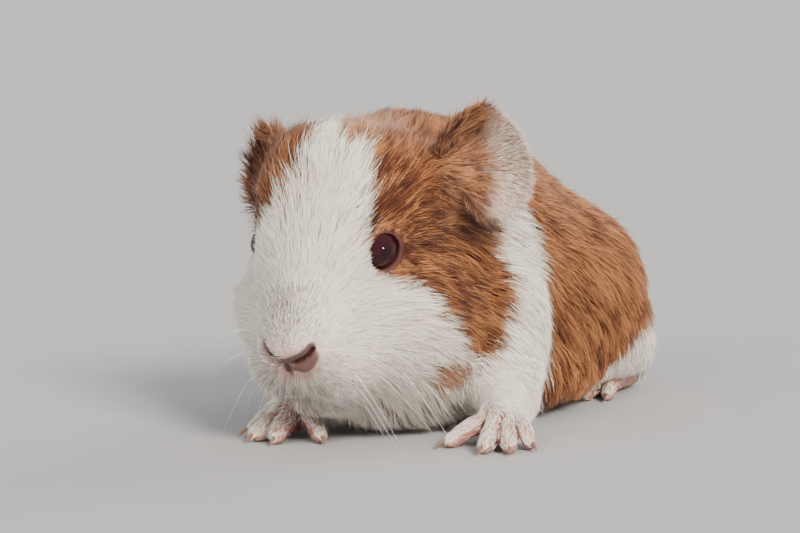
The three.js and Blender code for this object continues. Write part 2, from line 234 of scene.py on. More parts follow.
def ear_points(side, behind):
    """One sheet of an ear, in rings from its middle: the front at -1 and the back at 1."""
    rim = closed_curve(EAR_OUTLINE, EAR_SPOKES)
    share = (np.arange(1, EAR_CIRCLES + 1) / EAR_CIRCLES)[:, None, None]
    flat = EAR_MIDDLE + (rim - EAR_MIDDLE) * share
    x, z = flat[..., 0], flat[..., 1]
    s = share[..., 0]
    front = np.maximum(0, (z - 5) / 10) * np.maximum(0, (14 - x) / 14)
    angle = np.arctan2(z - EAR_MIDDLE[1], x - EAR_MIDDLE[0])
    folds = 0.35 * np.sin(5 * angle + 0.6) * np.sin(np.pi * s) + 0.25 * np.sin(9 * angle) * s**4
    forward = EAR_CUP * s**2 + EAR_ROLL * front * s + folds
    y = -forward + behind * (EAR_THICK - EAR_THINNING * s**2) / 2
    narrow, low = EAR_SKIN[side]
    return np.stack([x * narrow, y, z * low], -1).reshape(-1, 3)


def ear_solid(side):
    """A closed ear: the front sheet, the back sheet and the rim between them."""
    n = EAR_SPOKES
    front, behind = ear_points(side, -1), ear_points(side, 1)
    poles = np.array([[EAR_MIDDLE[0], y * EAR_THICK / 2, EAR_MIDDLE[1]] for y in (-1, 1)])
    points = np.concatenate([front, behind, poles])
    s = np.arange(n)
    t = (s + 1) % n
    faces = []
    for base, flip in ((0, 1), (len(front), -1)):
        pole = np.full(n, 2 * len(front) + (base > 0))
        faces.append(np.stack([pole, base + s, base + t][::flip], -1))
        for c in range(EAR_CIRCLES - 1):
            a, b = base + c * n + s, base + c * n + t
            faces.append(np.stack([a, b + n, b][::flip], -1))
            faces.append(np.stack([a, a + n, b + n][::flip], -1))
    last = (EAR_CIRCLES - 1) * n
    a, b, c, d = last + s, last + t, len(front) + last + t, len(front) + last + s
    faces += [np.stack([a, c, b], -1), np.stack([a, d, c], -1)]
    spin, place = ear_place(side)
    made = mesh_object(f"ear_{side}_form", to_scene(points @ spin.T + place), np.concatenate(faces))
    only(made)
    bpy.ops.object.mode_set(mode="EDIT")
    bpy.ops.mesh.select_all(action="SELECT")
    bpy.ops.mesh.normals_make_consistent(inside=False)
    bpy.ops.object.mode_set(mode="OBJECT")
    return made


ear_forms = [ear_solid(side) for side in SIDES]
print("each ear has", len(ear_forms[0].data.polygons), "faces")

# %% The thick base that carries each ear
# Its tip and its root in the ear's own frame, each with the radius there.
EAR_BASE = [([4, 2.4, 0.5], 2.2), ([-7.4, 1.5, -2.7], 6.5)]


def ear_base(side):
    """A cone with rounded sides, laid from inside the head to the back of the ear."""
    (tip, tip_radius), (root, root_radius) = EAR_BASE
    tip, root = Vector(tip), Vector(root)
    bpy.ops.mesh.primitive_cone_add(
        vertices=28, radius1=root_radius, radius2=tip_radius, depth=(tip - root).length,
        location=(tip + root) / 2, rotation=(tip - root).to_track_quat("Z", "Y").to_euler(),
    )
    cone = bpy.context.object
    cone.name = f"ear_base_{side}_form"
    bpy.ops.object.mode_set(mode="EDIT")
    bpy.ops.mesh.select_all(action="SELECT")
    bpy.ops.mesh.subdivide(number_cuts=3, smoothness=0.6)
    bpy.ops.mesh.normals_make_consistent(inside=SIDES[side] < 0)
    bpy.ops.object.mode_set(mode="OBJECT")
    return placed(cone, *ear_place(side))


def placed(made, spin, place):
    """Carries a mesh from its own frame, in millimetres, to the scene; its object stays unmoved."""
    turned = Matrix(spin.tolist()).to_4x4()
    turned.translation = Vector(to_scene(place))
    made.data.transform(turned @ Matrix.Scale(MM, 4) @ made.matrix_world)
    made.matrix_world = Matrix.Identity(4)
    return made


ear_forms += [ear_base(side) for side in SIDES]
print("base of the ear", len(ear_forms[-1].data.polygons), "faces")

# %% [markdown]
# ## The eyelids
# The eye bulges out of the head between two thick, bare, mauve-pink lids. The solids have the
# round opening; a torus laid on the eyeball just at that opening gives the lids their rolled
# margin.

# %% Rolled margins of the lids
OPENING = (4.9, 4.15)  # half width and half height between the lids
LID_ROLL = 0.28  # radius of the rolled margin
LID_SEAT = 0.15  # how far its middle stands off the ball


def eye_place(side):
    """The turn and the place of an eye; its own -Y is where it looks."""
    spin = HEAD_TURN @ turn("Z", EYE["outward"] * SIDES[side]) @ turn("X", -EYE["upward"])
    return spin, from_head(EYE["middle"] * [SIDES[side], 1, 1])


def lid_margin(side):
    """A flattened ring on the eyeball, round the opening."""
    wide, high = OPENING
    out = math.sqrt((EYE["ball"] + LID_SEAT) ** 2 - ((wide + high) / 2) ** 2)
    bpy.ops.mesh.primitive_torus_add(
        location=(0, -out, 0), rotation=(math.pi / 2, 0, 0),
        major_segments=48, minor_segments=12, major_radius=1, minor_radius=LID_ROLL / wide,
    )
    ring = bpy.context.object
    ring.name = f"lid_{side}_form"
    ring.scale = (wide, high, wide)
    bpy.context.view_layer.update()
    return placed(ring, *eye_place(side))


lid_forms = [lid_margin(side) for side in SIDES]
print("lid margins", [len(o.data.polygons) for o in lid_forms])

# %% [markdown]
# ## One skin
# The solids are cut into head, neck, trunk and limbs, and a skin has no cuts. So the fleshy
# solids are copied, swollen by a fifth of a millimetre until they overlap, joined with the ears
# and lids, and rebuilt by a voxel remesh as one closed surface. A boolean union would keep every
# facet and sliver of the solids; the remesh gives even small faces that can be smoothed.

# %% Fusing the skin
LIMBS = [
    f"{kind}{part}_{side}" for kind in ("fore", "hind") for part in ("leg", "paw") for side in SIDES
]
PAW_NAMES = [name for name in LIMBS if "paw" in name]
EAR_NAMES = [f"ear_{side}" for side in SIDES]
FLESH = ["head", "neck", "torso", *LIMBS]
SWELL = 0.2 * MM
VOXEL = 0.5 * MM

flesh_forms = []
for name in FLESH:
    form = bpy.data.objects.new(f"{name}_form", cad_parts[name].data.copy())
    bpy.context.scene.collection.objects.link(form)
    flesh_forms.append(form)
only(*flesh_forms)
bpy.ops.object.join()
skin = bpy.context.object
bpy.ops.object.mode_set(mode="EDIT")
bpy.ops.mesh.select_all(action="SELECT")
bpy.ops.mesh.remove_doubles(threshold=1e-6)
bpy.ops.transform.shrink_fatten(value=SWELL)
bpy.ops.object.mode_set(mode="OBJECT")
only(*ear_forms, *lid_forms, skin)
bpy.ops.object.join()
skin.name = skin.data.name = "skin"
fuse = skin.modifiers.new("fuse", "REMESH")
fuse.mode = "VOXEL"
fuse.voxel_size = VOXEL
bpy.ops.object.modifier_apply(modifier=fuse.name)
skin.data.materials.clear()
print("the fused skin has", len(skin.data.polygons), "faces")

# %% [markdown]
# The body is smooth and hidden by fur, so it can do with fewer faces than the face, the ears and
# the paws, where bare skin shows. Decimate thins only what its vertex group holds.

# %% Which part of the body each point belongs to
PARTS = [*FLESH, *EAR_NAMES]
FINE_EYE, FINE_NOSE = 9, 16  # reach of the fine faces round each eye and the nose, millimetres
BODY_SHARE = 0.33  # of the faces, kept where the coat hides them


def nearest_part(points):
    """For each point the index in PARTS of the solid whose surface has the nearest corner."""
    owners, corners = [], []
    for i, name in enumerate(PARTS):
        co = array_of(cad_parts[name].data.vertices, "co", 3)
        corners.append(co)
        owners += [i] * len(co)
    corners = np.concatenate(corners)
    tree = KDTree(len(corners))
    for i, co in enumerate(corners):
        tree.insert(co, i)
    tree.balance()
    return np.array([owners[tree.find(p)[1]] for p in points])


def share_of(part, *names):
    """1 where the nearest solid is one of these, else 0."""
    return np.isin(part, [PARTS.index(n) for n in names]).astype(float)


points = array_of(skin.data.vertices, "co", 3)
part = nearest_part(points)
near_eye = np.minimum(*[
    np.linalg.norm(points / MM - TRUNK_ORIGIN - eye_place(side)[1], axis=1) for side in SIDES
])
near_nose = np.linalg.norm(points / MM - TRUNK_ORIGIN - NOSE, axis=1)
fine = share_of(part, *EAR_NAMES, *PAW_NAMES)
fine = np.maximum(fine, (near_eye < FINE_EYE) | (near_nose < FINE_NOSE))
group = skin.vertex_groups.new(name="coarser")
for weight in (0, 1):
    group.add(np.flatnonzero(fine == 1 - weight).tolist(), weight, "REPLACE")
thin = skin.modifiers.new("thin", "DECIMATE")
thin.ratio = BODY_SHARE
thin.vertex_group = group.name
only(skin)
bpy.ops.object.modifier_apply(modifier=thin.name)
skin.vertex_groups.clear()
print("thinned, it has", len(skin.data.polygons), "faces")

# %% Finer faces round the nose and mouth
MUZZLE = 13  # millimetres round the point between nose and lips


def muzzle_faces(mesh):
    """Which faces of a mesh lie close to the nose and the lips."""
    centres = array_of(mesh.polygons, "center", 3)
    return np.linalg.norm(centres / MM - TRUNK_ORIGIN - from_head([0, 0, -4]), axis=1) < MUZZLE


skin.data.polygons.foreach_set("select", muzzle_faces(skin.data))
bpy.ops.object.mode_set(mode="EDIT")
bpy.ops.mesh.select_mode(type="FACE")
bpy.ops.mesh.subdivide(number_cuts=1)
bpy.ops.mesh.select_all(action="SELECT")
bpy.ops.mesh.quads_convert_to_tris()
bpy.ops.object.mode_set(mode="OBJECT")
print("with a finer muzzle it has", len(skin.data.polygons))

# %% [markdown]
# ## Where the coat is long and where it is bare
# Hair is longest on the back and flanks, shorter on the head and shortest at the nose and on the
# feet. The eyelids, the nostrils, the face of the ear and the soles are almost bare. Each of
# these is one number per point of the skin, so that the depth of the coat, the hairs and the
# colours all read the same map.

# %% Maps over the skin
points = array_of(skin.data.vertices, "co", 3) / MM - TRUNK_ORIGIN
edges = array_of(skin.data.edges, "vertices", 2, np.int32)
part = nearest_part(to_scene(points))
head_points = to_head(points)


def soft_share(rounds, *names):
    """1 on these parts and 0 elsewhere, blurred at their edges."""
    return spread(share_of(part, *names), edges, rounds)


is_ear = soft_share(3, *EAR_NAMES)
is_head = soft_share(12, "head", *EAR_NAMES)
is_paw = soft_share(5, *PAW_NAMES)
is_leg = soft_share(10, *[name for name in LIMBS if "leg" in name])
is_fore = soft_share(10, *[name for name in LIMBS if "fore" in name])

from_nose = np.linalg.norm(head_points, axis=1)


def eye_coordinates(side):
    """Points seen from an eye: across, along its gaze and up, in millimetres."""
    spin, place = eye_place(side)
    return (points - place) @ spin


eye_distance = np.full(len(points), 99.0)
for side in SIDES:
    local = eye_coordinates(side)
    ring = np.hypot(local[:, 0] / OPENING[0], local[:, 2] / OPENING[1])
    outside = (ring - 1) * np.mean(OPENING)
    eye_distance = np.where(local[:, 1] < 1, np.minimum(eye_distance, outside), eye_distance)
lid = 1 - step(0.0, 0.5, eye_distance)
print("the lids hold", int((lid > 0.5).sum()), "points")

# %% How long the hair is, and how deep the coat
# On the head it starts short at the nose and gains a share of each millimetre away from it.
NOSE_HAIR, HAIR_GAIN, JOWL_HAIR = 1.3, 0.17, 1.5
TRUNK_HAIR, LEG_HAIR, PAW_HAIR, EAR_HAIR = 9.5, 6.0, 2.7, 3.6
PAD_HAIR = {"left": 0.6, "right": 3.2}  # more on the whisker pad that the head leans to
CROWN, CROWN_REACH = [1, 46, 32], 8
COAT_SHARE = 0.23  # the coat's depth as a share of the hair's length

aside, along, height = head_points.T
length = NOSE_HAIR + HAIR_GAIN * np.clip(from_nose - 2, 0, 38)
length += JOWL_HAIR * step(-4, -14, height) * step(14, 26, along)
pads = step(11, 4, np.abs(np.abs(aside + 1) - 13)) * step(22, 14, along) * step(3, -3, height)
length += pads * np.where(aside < 0, PAD_HAIR["right"], PAD_HAIR["left"])
length = length * is_head + TRUNK_HAIR * (1 - is_head)
length = length * (1 - is_leg) + LEG_HAIR * is_leg
length *= 1 - 0.35 * is_fore * step(24, 12, points[:, 2])
length *= 1 - 0.4 * close_to(head_points, CROWN, CROWN_REACH)
length = length * (1 - is_paw) + PAW_HAIR * is_paw
length = length * (1 - is_ear) + EAR_HAIR * is_ear
length *= 0.22 + 0.78 * step(0.2, 6, eye_distance)
depth = COAT_SHARE * length * (1 - 0.93 * is_ear) * (1 - 0.8 * is_paw) * (1 - lid)
depth *= step(2, 14, from_nose)
print("hair from", length.min().round(1), "to", length.max().round(1), "mm long")
print("coat up to", depth.max().round(1), "mm deep")

# %% [markdown]
# ## Shaping the skin
# First the facets of the solids are smoothed away, and the skin sinks below their surface by the
# depth of the coat. Then the nose is modelled as a sculptor would with a small tool: each groove
# or swelling is a line on the face with a width and a height, and the points near it move along
# their normals.

# %% Sinking and smoothing
def skin_normals(rounds):
    """The skin's normals, evened out over the edges."""
    return unit(spread(array_of(skin.data.vertex_normals, "vector", 3), edges, rounds))


def move_skin(points):
    skin.data.vertices.foreach_set("co", to_scene(points).astype(np.float32).ravel())
    skin.data.update()


normals = skin_normals(6)
depth = spread(depth, edges, 8)
lid_fold = 0.35 * bell(eye_distance - 1.7, 0.5)
points = points - normals * (depth + lid_fold)[:, None]
# Thin and small forms would shrink away under the smoothing, so they are held.
firm = 0.75 * is_ear + 0.55 * is_paw + 0.85 * lid + 0.15 * step(14, 8, from_nose)
points = spread(points, edges, 14, np.clip(firm, 0, 0.95))
move_skin(points)
print("smoothed", len(points), "points")

# %% Parting the toes
# The angles of the toes, and how far from the wrist or heel they part.
FORE_TOES = [-38, -3, 16, 38], 7
HIND_TOES = [-12, 1, 14], 15
# Where the wrist or heel stands, and where the paw heads, in degrees outwards from ahead.
PAWS = {
    "forepaw_left": ([32, -37.5], 12, *FORE_TOES),
    "forepaw_right": ([-18.5, -51.5], -10, *FORE_TOES),
    "hindpaw_left": ([26.5, 47], -2, *HIND_TOES),
    "hindpaw_right": ([-26.5, 47], -2, *HIND_TOES),
}
CLEFT_WIDTH, CLEFT_DEPTH = 0.65, 1.3  # between two toes


def paw_frame(name):
    """The turn and place of a paw, its toes along -Y and its outer side +X."""
    wrist, heading, _, _ = PAWS[name]
    sign = SIDES[name.split("_")[1]]
    return turn("Z", heading * sign) @ np.diag([sign, 1, 1]), np.array([*wrist, 0.0])


between_toes = np.zeros(len(points))
toeward = np.zeros_like(points)
for name, (_, _, splays, start) in PAWS.items():
    spin, place = paw_frame(name)
    local = (points - place) @ spin
    along = np.hypot(local[:, 0], local[:, 1])
    angle = np.degrees(np.arctan2(local[:, 0], -local[:, 1]))
    here = share_of(part, name)
    outward = local * [1, 1, 0] - [0, 3, 0]
    outward[:, 2] = -0.35 * along
    toeward += (unit(outward) @ spin.T) * here[:, None]
    for one, other in zip(splays[:-1], splays[1:]):
        aside = along * np.radians(angle - (one + other) / 2)
        groove = bell(aside, CLEFT_WIDTH) * step(start - 1.5, start + 3, along) * here
        between_toes = np.maximum(between_toes, groove)
points = points - skin_normals(2) * (CLEFT_DEPTH * between_toes)[:, None]
move_skin(points)
print("toes parted at", int((between_toes > 0.5).sum()), "points")

# %% Modelling the nose and the mouth
# Each line is given by its points across and up in the head's frame, a width and a height.
SNOUT_TURN = -2  # the nose and lips turn a little to the animal's right
NOSTRIL = [[2.0, -1.2], [4.2, -0.4], [5.6, 0.5], [6.8, 1.7]]
MOUTH = [[0, -11.3], [2.4, -12.4], [4.8, -13.6], [7.0, -15.2]]
SNOUT_LINES = [
    (NOSTRIL, 0.5, -1.3),  # the slit of the nostril
    ([[4.4, -3.2], [6.2, -2.0], [7.3, -0.2]], 1.3, 0.75),  # the wing below it
    ([[0, 1.6], [4.2, 2.6]], 1.6, 0.4),  # the pad above it
    ([[0, -1.8], [0, -5.5], [0, -10.8]], 0.55, -0.6),  # the cleft of the upper lip
    (MOUTH, 0.5, -1.1),
    ([[1.2, -9.4], [3.4, -10.6], [5.8, -12.2]], 1.3, 0.5),  # the upper lip
    ([[0, -13.8], [2.8, -14.8]], 1.2, 0.3),  # the lower lip
]


def distance_to_line(across, up, line):
    """How far points of a plane are from a line of points in it."""
    line = np.array(line, float)
    best = np.full(len(across), 1e9)
    for (x0, z0), (x1, z1) in zip(line[:-1], line[1:]):
        dx, dz = x1 - x0, z1 - z0
        t = np.clip(((across - x0) * dx + (up - z0) * dz) / (dx * dx + dz * dz), 0, 1)
        best = np.minimum(best, np.hypot(across - x0 - t * dx, up - z0 - t * dz))
    return best


def snout_height(face):
    """How far the skin of the snout stands out or in at points in the head's frame."""
    across, up = np.abs(face[:, 0] - SNOUT_TURN), face[:, 2]
    height = np.zeros(len(face))
    for line, width, rise in SNOUT_LINES:
        height += rise * bell(distance_to_line(across, up, line), width)
    return height * step(8, 6, face[:, 1])


relief = snout_height(to_head(points))
points = points + skin_normals(3) * relief[:, None]
move_skin(points)
bpy.ops.object.shade_smooth()
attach(skin, "root")
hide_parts(*FLESH, "ear_left", "ear_right")
print("the muzzle moved by up to", np.abs(relief).max().round(2), "mm")

# %% [markdown]
# ## The markings
# A ginger patch covers each ear and eye and leaves a white blaze between them, and a ginger
# saddle lies behind a white collar. A marking could be painted as a picture, but then the skin
# and the hairs would need two. Instead each patch is a closed line on the body, seen square on,
# and every point or hair asks on which side of it it lies.

# %% Patches of colour
def inside(flat, line):
    """Signed distance of points of a plane to a closed line: positive inside."""
    line = np.array(line, float)
    closed = np.vstack([line, line[:1]])
    away = distance_to_line(flat[:, 0], flat[:, 1], closed)
    (x0, z0), (x1, z1) = closed[:-1].T, closed[1:].T
    x, z = flat[:, :1], flat[:, 1:]
    crossing = ((z0 > z) != (z1 > z)) & (x < (x1 - x0) * (z - z0) / (z1 - z0 + 1e-12) + x0)
    return away * np.where(crossing.sum(1) % 2, 1, -1)


def seen_along(direction):
    """Two axes square to a direction, to look at a patch from outside."""
    direction = unit(np.array(direction, float))
    side = unit(np.cross([0, 0, 1], direction))
    return direction, np.stack([side, np.cross(direction, side)])


# Closed lines in the head's frame, and the direction that each patch faces.
CHEEK_PATCHES = {
    "left": ([0.85, 0.15, 0.5], [
        [11, 42, 31], [13.2, 36, 28], [14.6, 31, 23.5], [13.6, 24.5, 19.5], [14.2, 20.5, 14.5],
        [15.6, 20, 10.8], [18, 21.8, 6.4], [24.4, 25.5, 1.8], [28, 25, -4.6], [30, 26, -13],
        [30.4, 28.4, -21.5], [31.4, 27.5, -25.5], [34, 32.5, -23], [36.4, 41.5, -18],
        [34.3, 50, -14], [30, 53, -6], [29.5, 56, -2], [30, 66, 4], [20, 74, 12], [6, 70, 18],
        [5, 62, 22], [7, 50, 30],
    ]),
    "right": ([-0.85, 0.15, 0.5], [
        [-6, 49.6, 31], [-4, 41, 33], [-5.4, 32.3, 30], [-9.1, 28.5, 25.7], [-12.6, 25.8, 21.4],
        [-15.5, 25, 18], [-19, 29.5, 11.5], [-22, 31, 4], [-26, 33, -4], [-29, 36, -12],
        [-33, 44, -14], [-32, 52, -10], [-30, 56, -2], [-30, 66, 4], [-20, 74, 12], [-6, 70, 18],
    ]),
    "nape": ([0, 0.4, 0.9], [
        [2, 45, 33], [4.2, 41.1, 33], [7.7, 41.4, 32.1], [12, 43, 30], [14, 60, 24], [12, 74, 14],
        [-10, 74, 14], [-6, 60, 26], [-1, 52, 31],
    ]),
}
PATCH_MIDDLE = [0, 40, 5]  # inside the head; a patch colours only the side of it that it faces
SPINE_HEIGHT = 38.0  # of the line inside the trunk that angles are measured round
# Where the saddle begins along the trunk, for each angle round the trunk from its top, positive
# to the animal's left.
SADDLE_FRONT = np.array([
    [-180, 30], [-155, 5], [-140, -9], [-100, -6], [-80, -4], [-60, -7], [-45, -16], [-30, -30],
    [-12, -39], [12, -40], [30, -36], [45, -25], [57, -15.5], [75, -12.6], [98, -13],
    [137, -13], [152, 0], [180, 30],
]).T
# How high the white at the foot of the rump reaches, for places along the trunk.
RUMP_WHITE = np.array([
    [10, -9], [15, 0], [16.6, 6.5], [19.6, 12], [24, 15], [28.5, 18], [36, 20], [80, 20],
]).T
# A small ginger spot below the left cheek.
SPOT = {"middle": np.array([22, -47.5, 16.8]), "radii": np.array([5.5, 6, 3.4])}


def ginger(points, ragged):
    """How ginger the coat is at points of the trunk, from 0 to 1; ragged shifts the edges."""
    face = to_head(points)
    colour = np.full(len(points), -9.0)
    for direction, line in CHEEK_PATCHES.values():
        facing, axes = seen_along(direction)
        distance = inside(face @ axes.T, np.array(line) @ axes.T)
        beside = (face - PATCH_MIDDLE) @ facing
        colour = np.maximum(colour, np.where(beside > 0, distance, -9))
    angle = np.degrees(np.arctan2(points[:, 0], points[:, 2] - SPINE_HEIGHT))
    behind = points[:, 1] - np.interp(angle, *SADDLE_FRONT)
    above = points[:, 2] - np.interp(points[:, 1], *RUMP_WHITE)
    colour = np.maximum(colour, np.minimum(behind, above))
    spot = (1 - np.linalg.norm((points - SPOT["middle"]) / SPOT["radii"], axis=1)) * 3
    colour = np.maximum(colour, spot)
    return step(-0.5, 0.5, colour + ragged)


skin_ginger = ginger(points, 0.0)
print("the coat is ginger on", round(100 * skin_ginger.mean()), "% of the skin's points")

# %% [markdown]
# ## The lie of the coat
# Fur isn't straight: on a guinea pig it fans out from the nose, sweeps over the brow, bends round
# behind the eye and falls down the cheek and the flanks. A groomer would comb it tuft by tuft.
# Here a few dozen comb strokes, each a place and a direction, are blended over the skin, with a
# plain rule in between.

# %% Comb strokes
# Places and directions in the head's frame, for its left side; the right side mirrors them.
HEAD_STROKES = np.array([
    [0, 2, 6, 0, 2, 10], [-2, 10, 12, 0, 8, 7], [-3, 18, 19, 1, 7, 7], [-1, 26, 26, 3, 7, 6],
    [4, 34, 31, 3, 9, 4], [3, 42, 33, 0, 10, 1], [7, 20, 20, 5, 9, 1], [10, 28, 25, 5, 7, 5],
    [7, 10, 10, 7, 7, 1], [11, 16, 11, 5, 8, -2], [20, 19, 2, 7, 7, -2], [27, 25, -3, 5, 6, -6],
    [8, 3, 2, 9, 4, -1], [18, 11, -3, 7, 6, -4], [26, 19, -9, 5, 6, -6], [12, 4, -4, 8, 4, -5],
    [10, 3, -8, 5, 3, -8], [15, 12, -19, 2, 4, -9], [1, 2, -8, 0, 2, -10], [7, 6, -18, 0, 3, -9],
    [15, 13, -28, -1, 2, -10], [14, 26, 21, 6, 8, 1], [17, 31, 22, 7, 4, 6], [22, 39, 17, 3, 9, -4],
    [22, 51, 14, 2, 8, -6], [29, 48, 11, 3, 5, -8], [23, 43, 9, 1, 8, -6], [22, 33, 9, 9, 2, -3],
    [23, 28, 4, 9, 2, -4], [26, 42, 1, 4, 5, -8], [29, 34, -3, 4, 2, -9], [30, 50, -7, 1, 4, -9],
    [31, 33, -15, -2, 4, -9], [30, 25, -13, 2, 2, -10], [16, 46, 26, -3, 10, 0],
    [15, 65, 17, -2, 10, -1], [11, 49, 29, -3, 9, -3], [13, 37, 29, 1, 10, 2],
    [16, 16, 3, 7, 7, -3], [9, 5, 4, 8, 6, 1],
], float)
# The same in the trunk's frame.
TRUNK_STROKES = np.array([
    [27, -21, 46, 1, 8, -6], [32, -28, 33, 4, 3, -9], [35, -28, 22, 2, 5, -9],
    [29, -36, 27, 4, 6, -7], [32, -40, 16, 5, 4, -8], [36, -38, 10, 4, 2, -9],
    [23, -41, 16, 7, 6, -4], [24, 0, 58, -2, 10, -2], [24, 10, 54, 2, 8, -5],
    [30, 15, 46, 3, 6, -8], [31, -6, 36, 2, 6, -8], [35, 10, 33, 1, 6, -8],
    [32, -1, 20, 3, 2, -10], [32, -10, 9, 2, 3, -9], [36, 15, 21, 1, 3, -9],
    [34, 11, 13, 1, -1, -10], [38, 28, 30, 1, 2, -10], [17, -49, 12, 0, 7, -7],
    [0, 20, 75, 0, 10, -1], [0, 60, 50, 0, 6, -8], [0, 74, 30, 0, 1, -10], [25, 62, 28, 3, 2, -10],
    [14, 40, 62, 3, 9, -4], [28, 45, 42, 3, 6, -8],
], float)
STROKE_REACH = 7.0  # how far a stroke combs, millimetres
RULE_WEIGHT = 0.05  # of the plain rule beside the strokes
BATCH = 20000  # points combed at once, so that memory suffices


def both_sides(strokes):
    flip = np.array([-1, 1, 1, -1, 1, 1])
    return np.concatenate([strokes, strokes * flip])


def all_strokes():
    """The places and the directions of all strokes, in the trunk's frame."""
    head, trunk = both_sides(HEAD_STROKES), both_sides(TRUNK_STROKES)
    places = np.concatenate([from_head(head[:, :3]), trunk[:, :3]])
    ways = np.concatenate([head[:, 3:] @ HEAD_TURN.T, trunk[:, 3:]])
    return places, unit(ways)


def combed(points, normals):
    """The direction in which hair lies at points of the skin."""
    places, ways = all_strokes()
    lie = np.empty_like(points)
    for start in range(0, len(points), BATCH):
        some = slice(start, start + BATCH)
        gap = ((points[some, None] - places[None]) ** 2).sum(2)
        lie[some] = np.exp(-gap / (2 * STROKE_REACH**2)) @ ways
    outwards = np.sign(points[:, :1]) * np.clip(np.abs(points[:, :1]) / 30, 0, 1)
    back_and_down = np.hstack([
        0.25 * outwards,
        1.0 - 1.1 * step(35, 75, points[:, 1:2]),
        -0.9 * np.abs(outwards) - 1.2 * step(30, 70, points[:, 1:2]),
    ])
    forward = step(-30, -50, points[:, 1:2])
    rule = unit(points - NOSE) * forward + back_and_down * (1 - forward)
    return flattened(lie + RULE_WEIGHT * rule, normals)


def flattened(ways, normals):
    """Directions laid down on the skin."""
    return unit(ways - normals * (ways * normals).sum(1, keepdims=True))


normals = skin_normals(4)
lie = combed(points, normals)

# On an ear the hairs run from its root to its rim, and on a paw towards the toes.
for side in SIDES:
    spin, place = ear_place(side)
    on_ear = share_of(part, f"ear_{side}")[:, None]
    outward = points - (place + spin @ np.array([-2, 0, 1]))
    lie = lie * (1 - on_ear) + unit(outward) * on_ear
lie = lie * (1 - is_paw[:, None]) + toeward * is_paw[:, None]
lie = flattened(spread(lie, edges, 4), normals)
print("combed", len(lie), "points with", len(all_strokes()[0]), "strokes")

# %% [markdown]
# ## Shaders
# Colours are worked out with node maths. Wiring nodes by hand soon gets long, so a small class
# stands for one socket and lets sockets be added, subtracted and multiplied like numbers.

# %% A small language for node maths
class Wire:
    """One output socket of a material's node tree."""

    def __init__(self, shader, socket):
        self.shader, self.socket = shader, socket

    def maths(self, operation, first, second):
        return self.shader.node("ShaderNodeMath", {"operation": operation}, {0: first, 1: second})

    def __add__(self, other): return self.maths("ADD", self, other)
    def __radd__(self, other): return self.maths("ADD", other, self)
    def __sub__(self, other): return self.maths("SUBTRACT", self, other)
    def __rsub__(self, other): return self.maths("SUBTRACT", other, self)
    def __mul__(self, other): return self.maths("MULTIPLY", self, other)
    def __rmul__(self, other): return self.maths("MULTIPLY", other, self)


def linear(red, green, blue):
    """A colour as it is read off a screen, 0 to 255, for a colour socket."""
    return tuple(((c / 255 + 0.055) / 1.055) ** 2.4 for c in (red, green, blue)) + (1.0,)


class Shader:
    """A material with one Principled surface."""

    def __init__(self, name, **constants):
        self.material = bpy.data.materials.new(name)
        self.material.use_nodes = True
        self.tree = self.material.node_tree
        self.surface = self.tree.nodes["Principled BSDF"]
        for socket, value in constants.items():
            self.surface.inputs[socket.replace("_", " ")].default_value = value

    def node(self, kind, settings=None, inputs=None, output=0):
        made = self.tree.nodes.new(kind)
        for name, value in (settings or {}).items():
            setattr(made, name, value)
        for key, value in (inputs or {}).items():
            if isinstance(value, Wire):
                self.tree.links.new(value.socket, made.inputs[key])
            else:
                made.inputs[key].default_value = value
        return Wire(self, made.outputs[output])

    def attribute(self, name):
        return self.node("ShaderNodeAttribute", {"attribute_name": name}, output="Fac")

    def noise(self, scale, detail=3.0):
        where = self.node("ShaderNodeTexCoord", output="Object")
        sockets = {"Vector": where, "Scale": scale, "Detail": detail}
        return self.node("ShaderNodeTexNoise", None, sockets)

    def mix(self, factor, first, second):
        """A blend of two colours; these are the colour sockets of the mix node."""
        sockets = {0: factor, 6: first, 7: second}
        return self.node("ShaderNodeMix", {"data_type": "RGBA"}, sockets, output=2)

    def ramp(self, value, low, high):
        sockets = {"Value": value, "From Min": low, "From Max": high}
        return self.node("ShaderNodeMapRange", {"interpolation_type": "SMOOTHSTEP"}, sockets)

    def bump(self, height, distance, strength):
        sockets = {"Height": height, "Distance": distance, "Strength": strength}
        return self.node("ShaderNodeBump", None, sockets)

    def feed(self, **wires):
        """Leads wires to the surface's sockets and gives back the finished material."""
        for socket, wire in wires.items():
            self.tree.links.new(wire.socket, self.surface.inputs[socket.replace("_", " ")])
        return self.material


print("a test colour is", [round(c, 3) for c in linear(176, 112, 72)])

# %% [markdown]
# Fur is darkest at the skin, where little light gets in, and bleached at the tips. Ginger hair
# goes from slate brown at the root through red brown to gold, white hair from a warm shade to
# white. Some hairs of the ginger coat end in black.

# %% Material of the hairs
def coat_material():
    shader = Shader("coat", Roughness=0.5, Specular_IOR_Level=0.35, Sheen_Weight=0.1)
    along, tone = shader.attribute("along"), shader.attribute("tone")
    red = shader.mix(shader.ramp(along, 0.0, 0.5), linear(54, 25, 16), linear(124, 63, 35))
    red = shader.mix(shader.ramp(along, 0.45, 1.0), red, linear(166, 102, 61))
    dark_lock = shader.mix(0.8, red, linear(64, 28, 16))
    pale_lock = shader.mix(0.6, red, linear(212, 146, 92))
    red = shader.mix(shader.ramp(tone, 0.1, 0.9), dark_lock, pale_lock)
    white = shader.mix(shader.ramp(along, 0.0, 0.4), linear(226, 202, 184), linear(252, 244, 230))
    cream_lock = shader.mix(0.3, white, linear(212, 188, 170))
    white = shader.mix(shader.ramp(tone, 0.0, 0.6), cream_lock, white)
    colour = shader.mix(shader.attribute("ginger"), white, red)
    # Real black tips, and painted shade along the cleft of the lip and the mouth, darken a hair
    # towards its tip.
    dark = shader.mix(shader.ramp(along, 0.1, 0.5), colour, linear(42, 27, 25))
    colour = shader.mix(shader.attribute("dark_tips_and_shade"), colour, dark)
    return shader.feed(Base_Color=colour)


coat = coat_material()
print("material", coat.name, "has", len(coat.node_tree.nodes), "nodes")

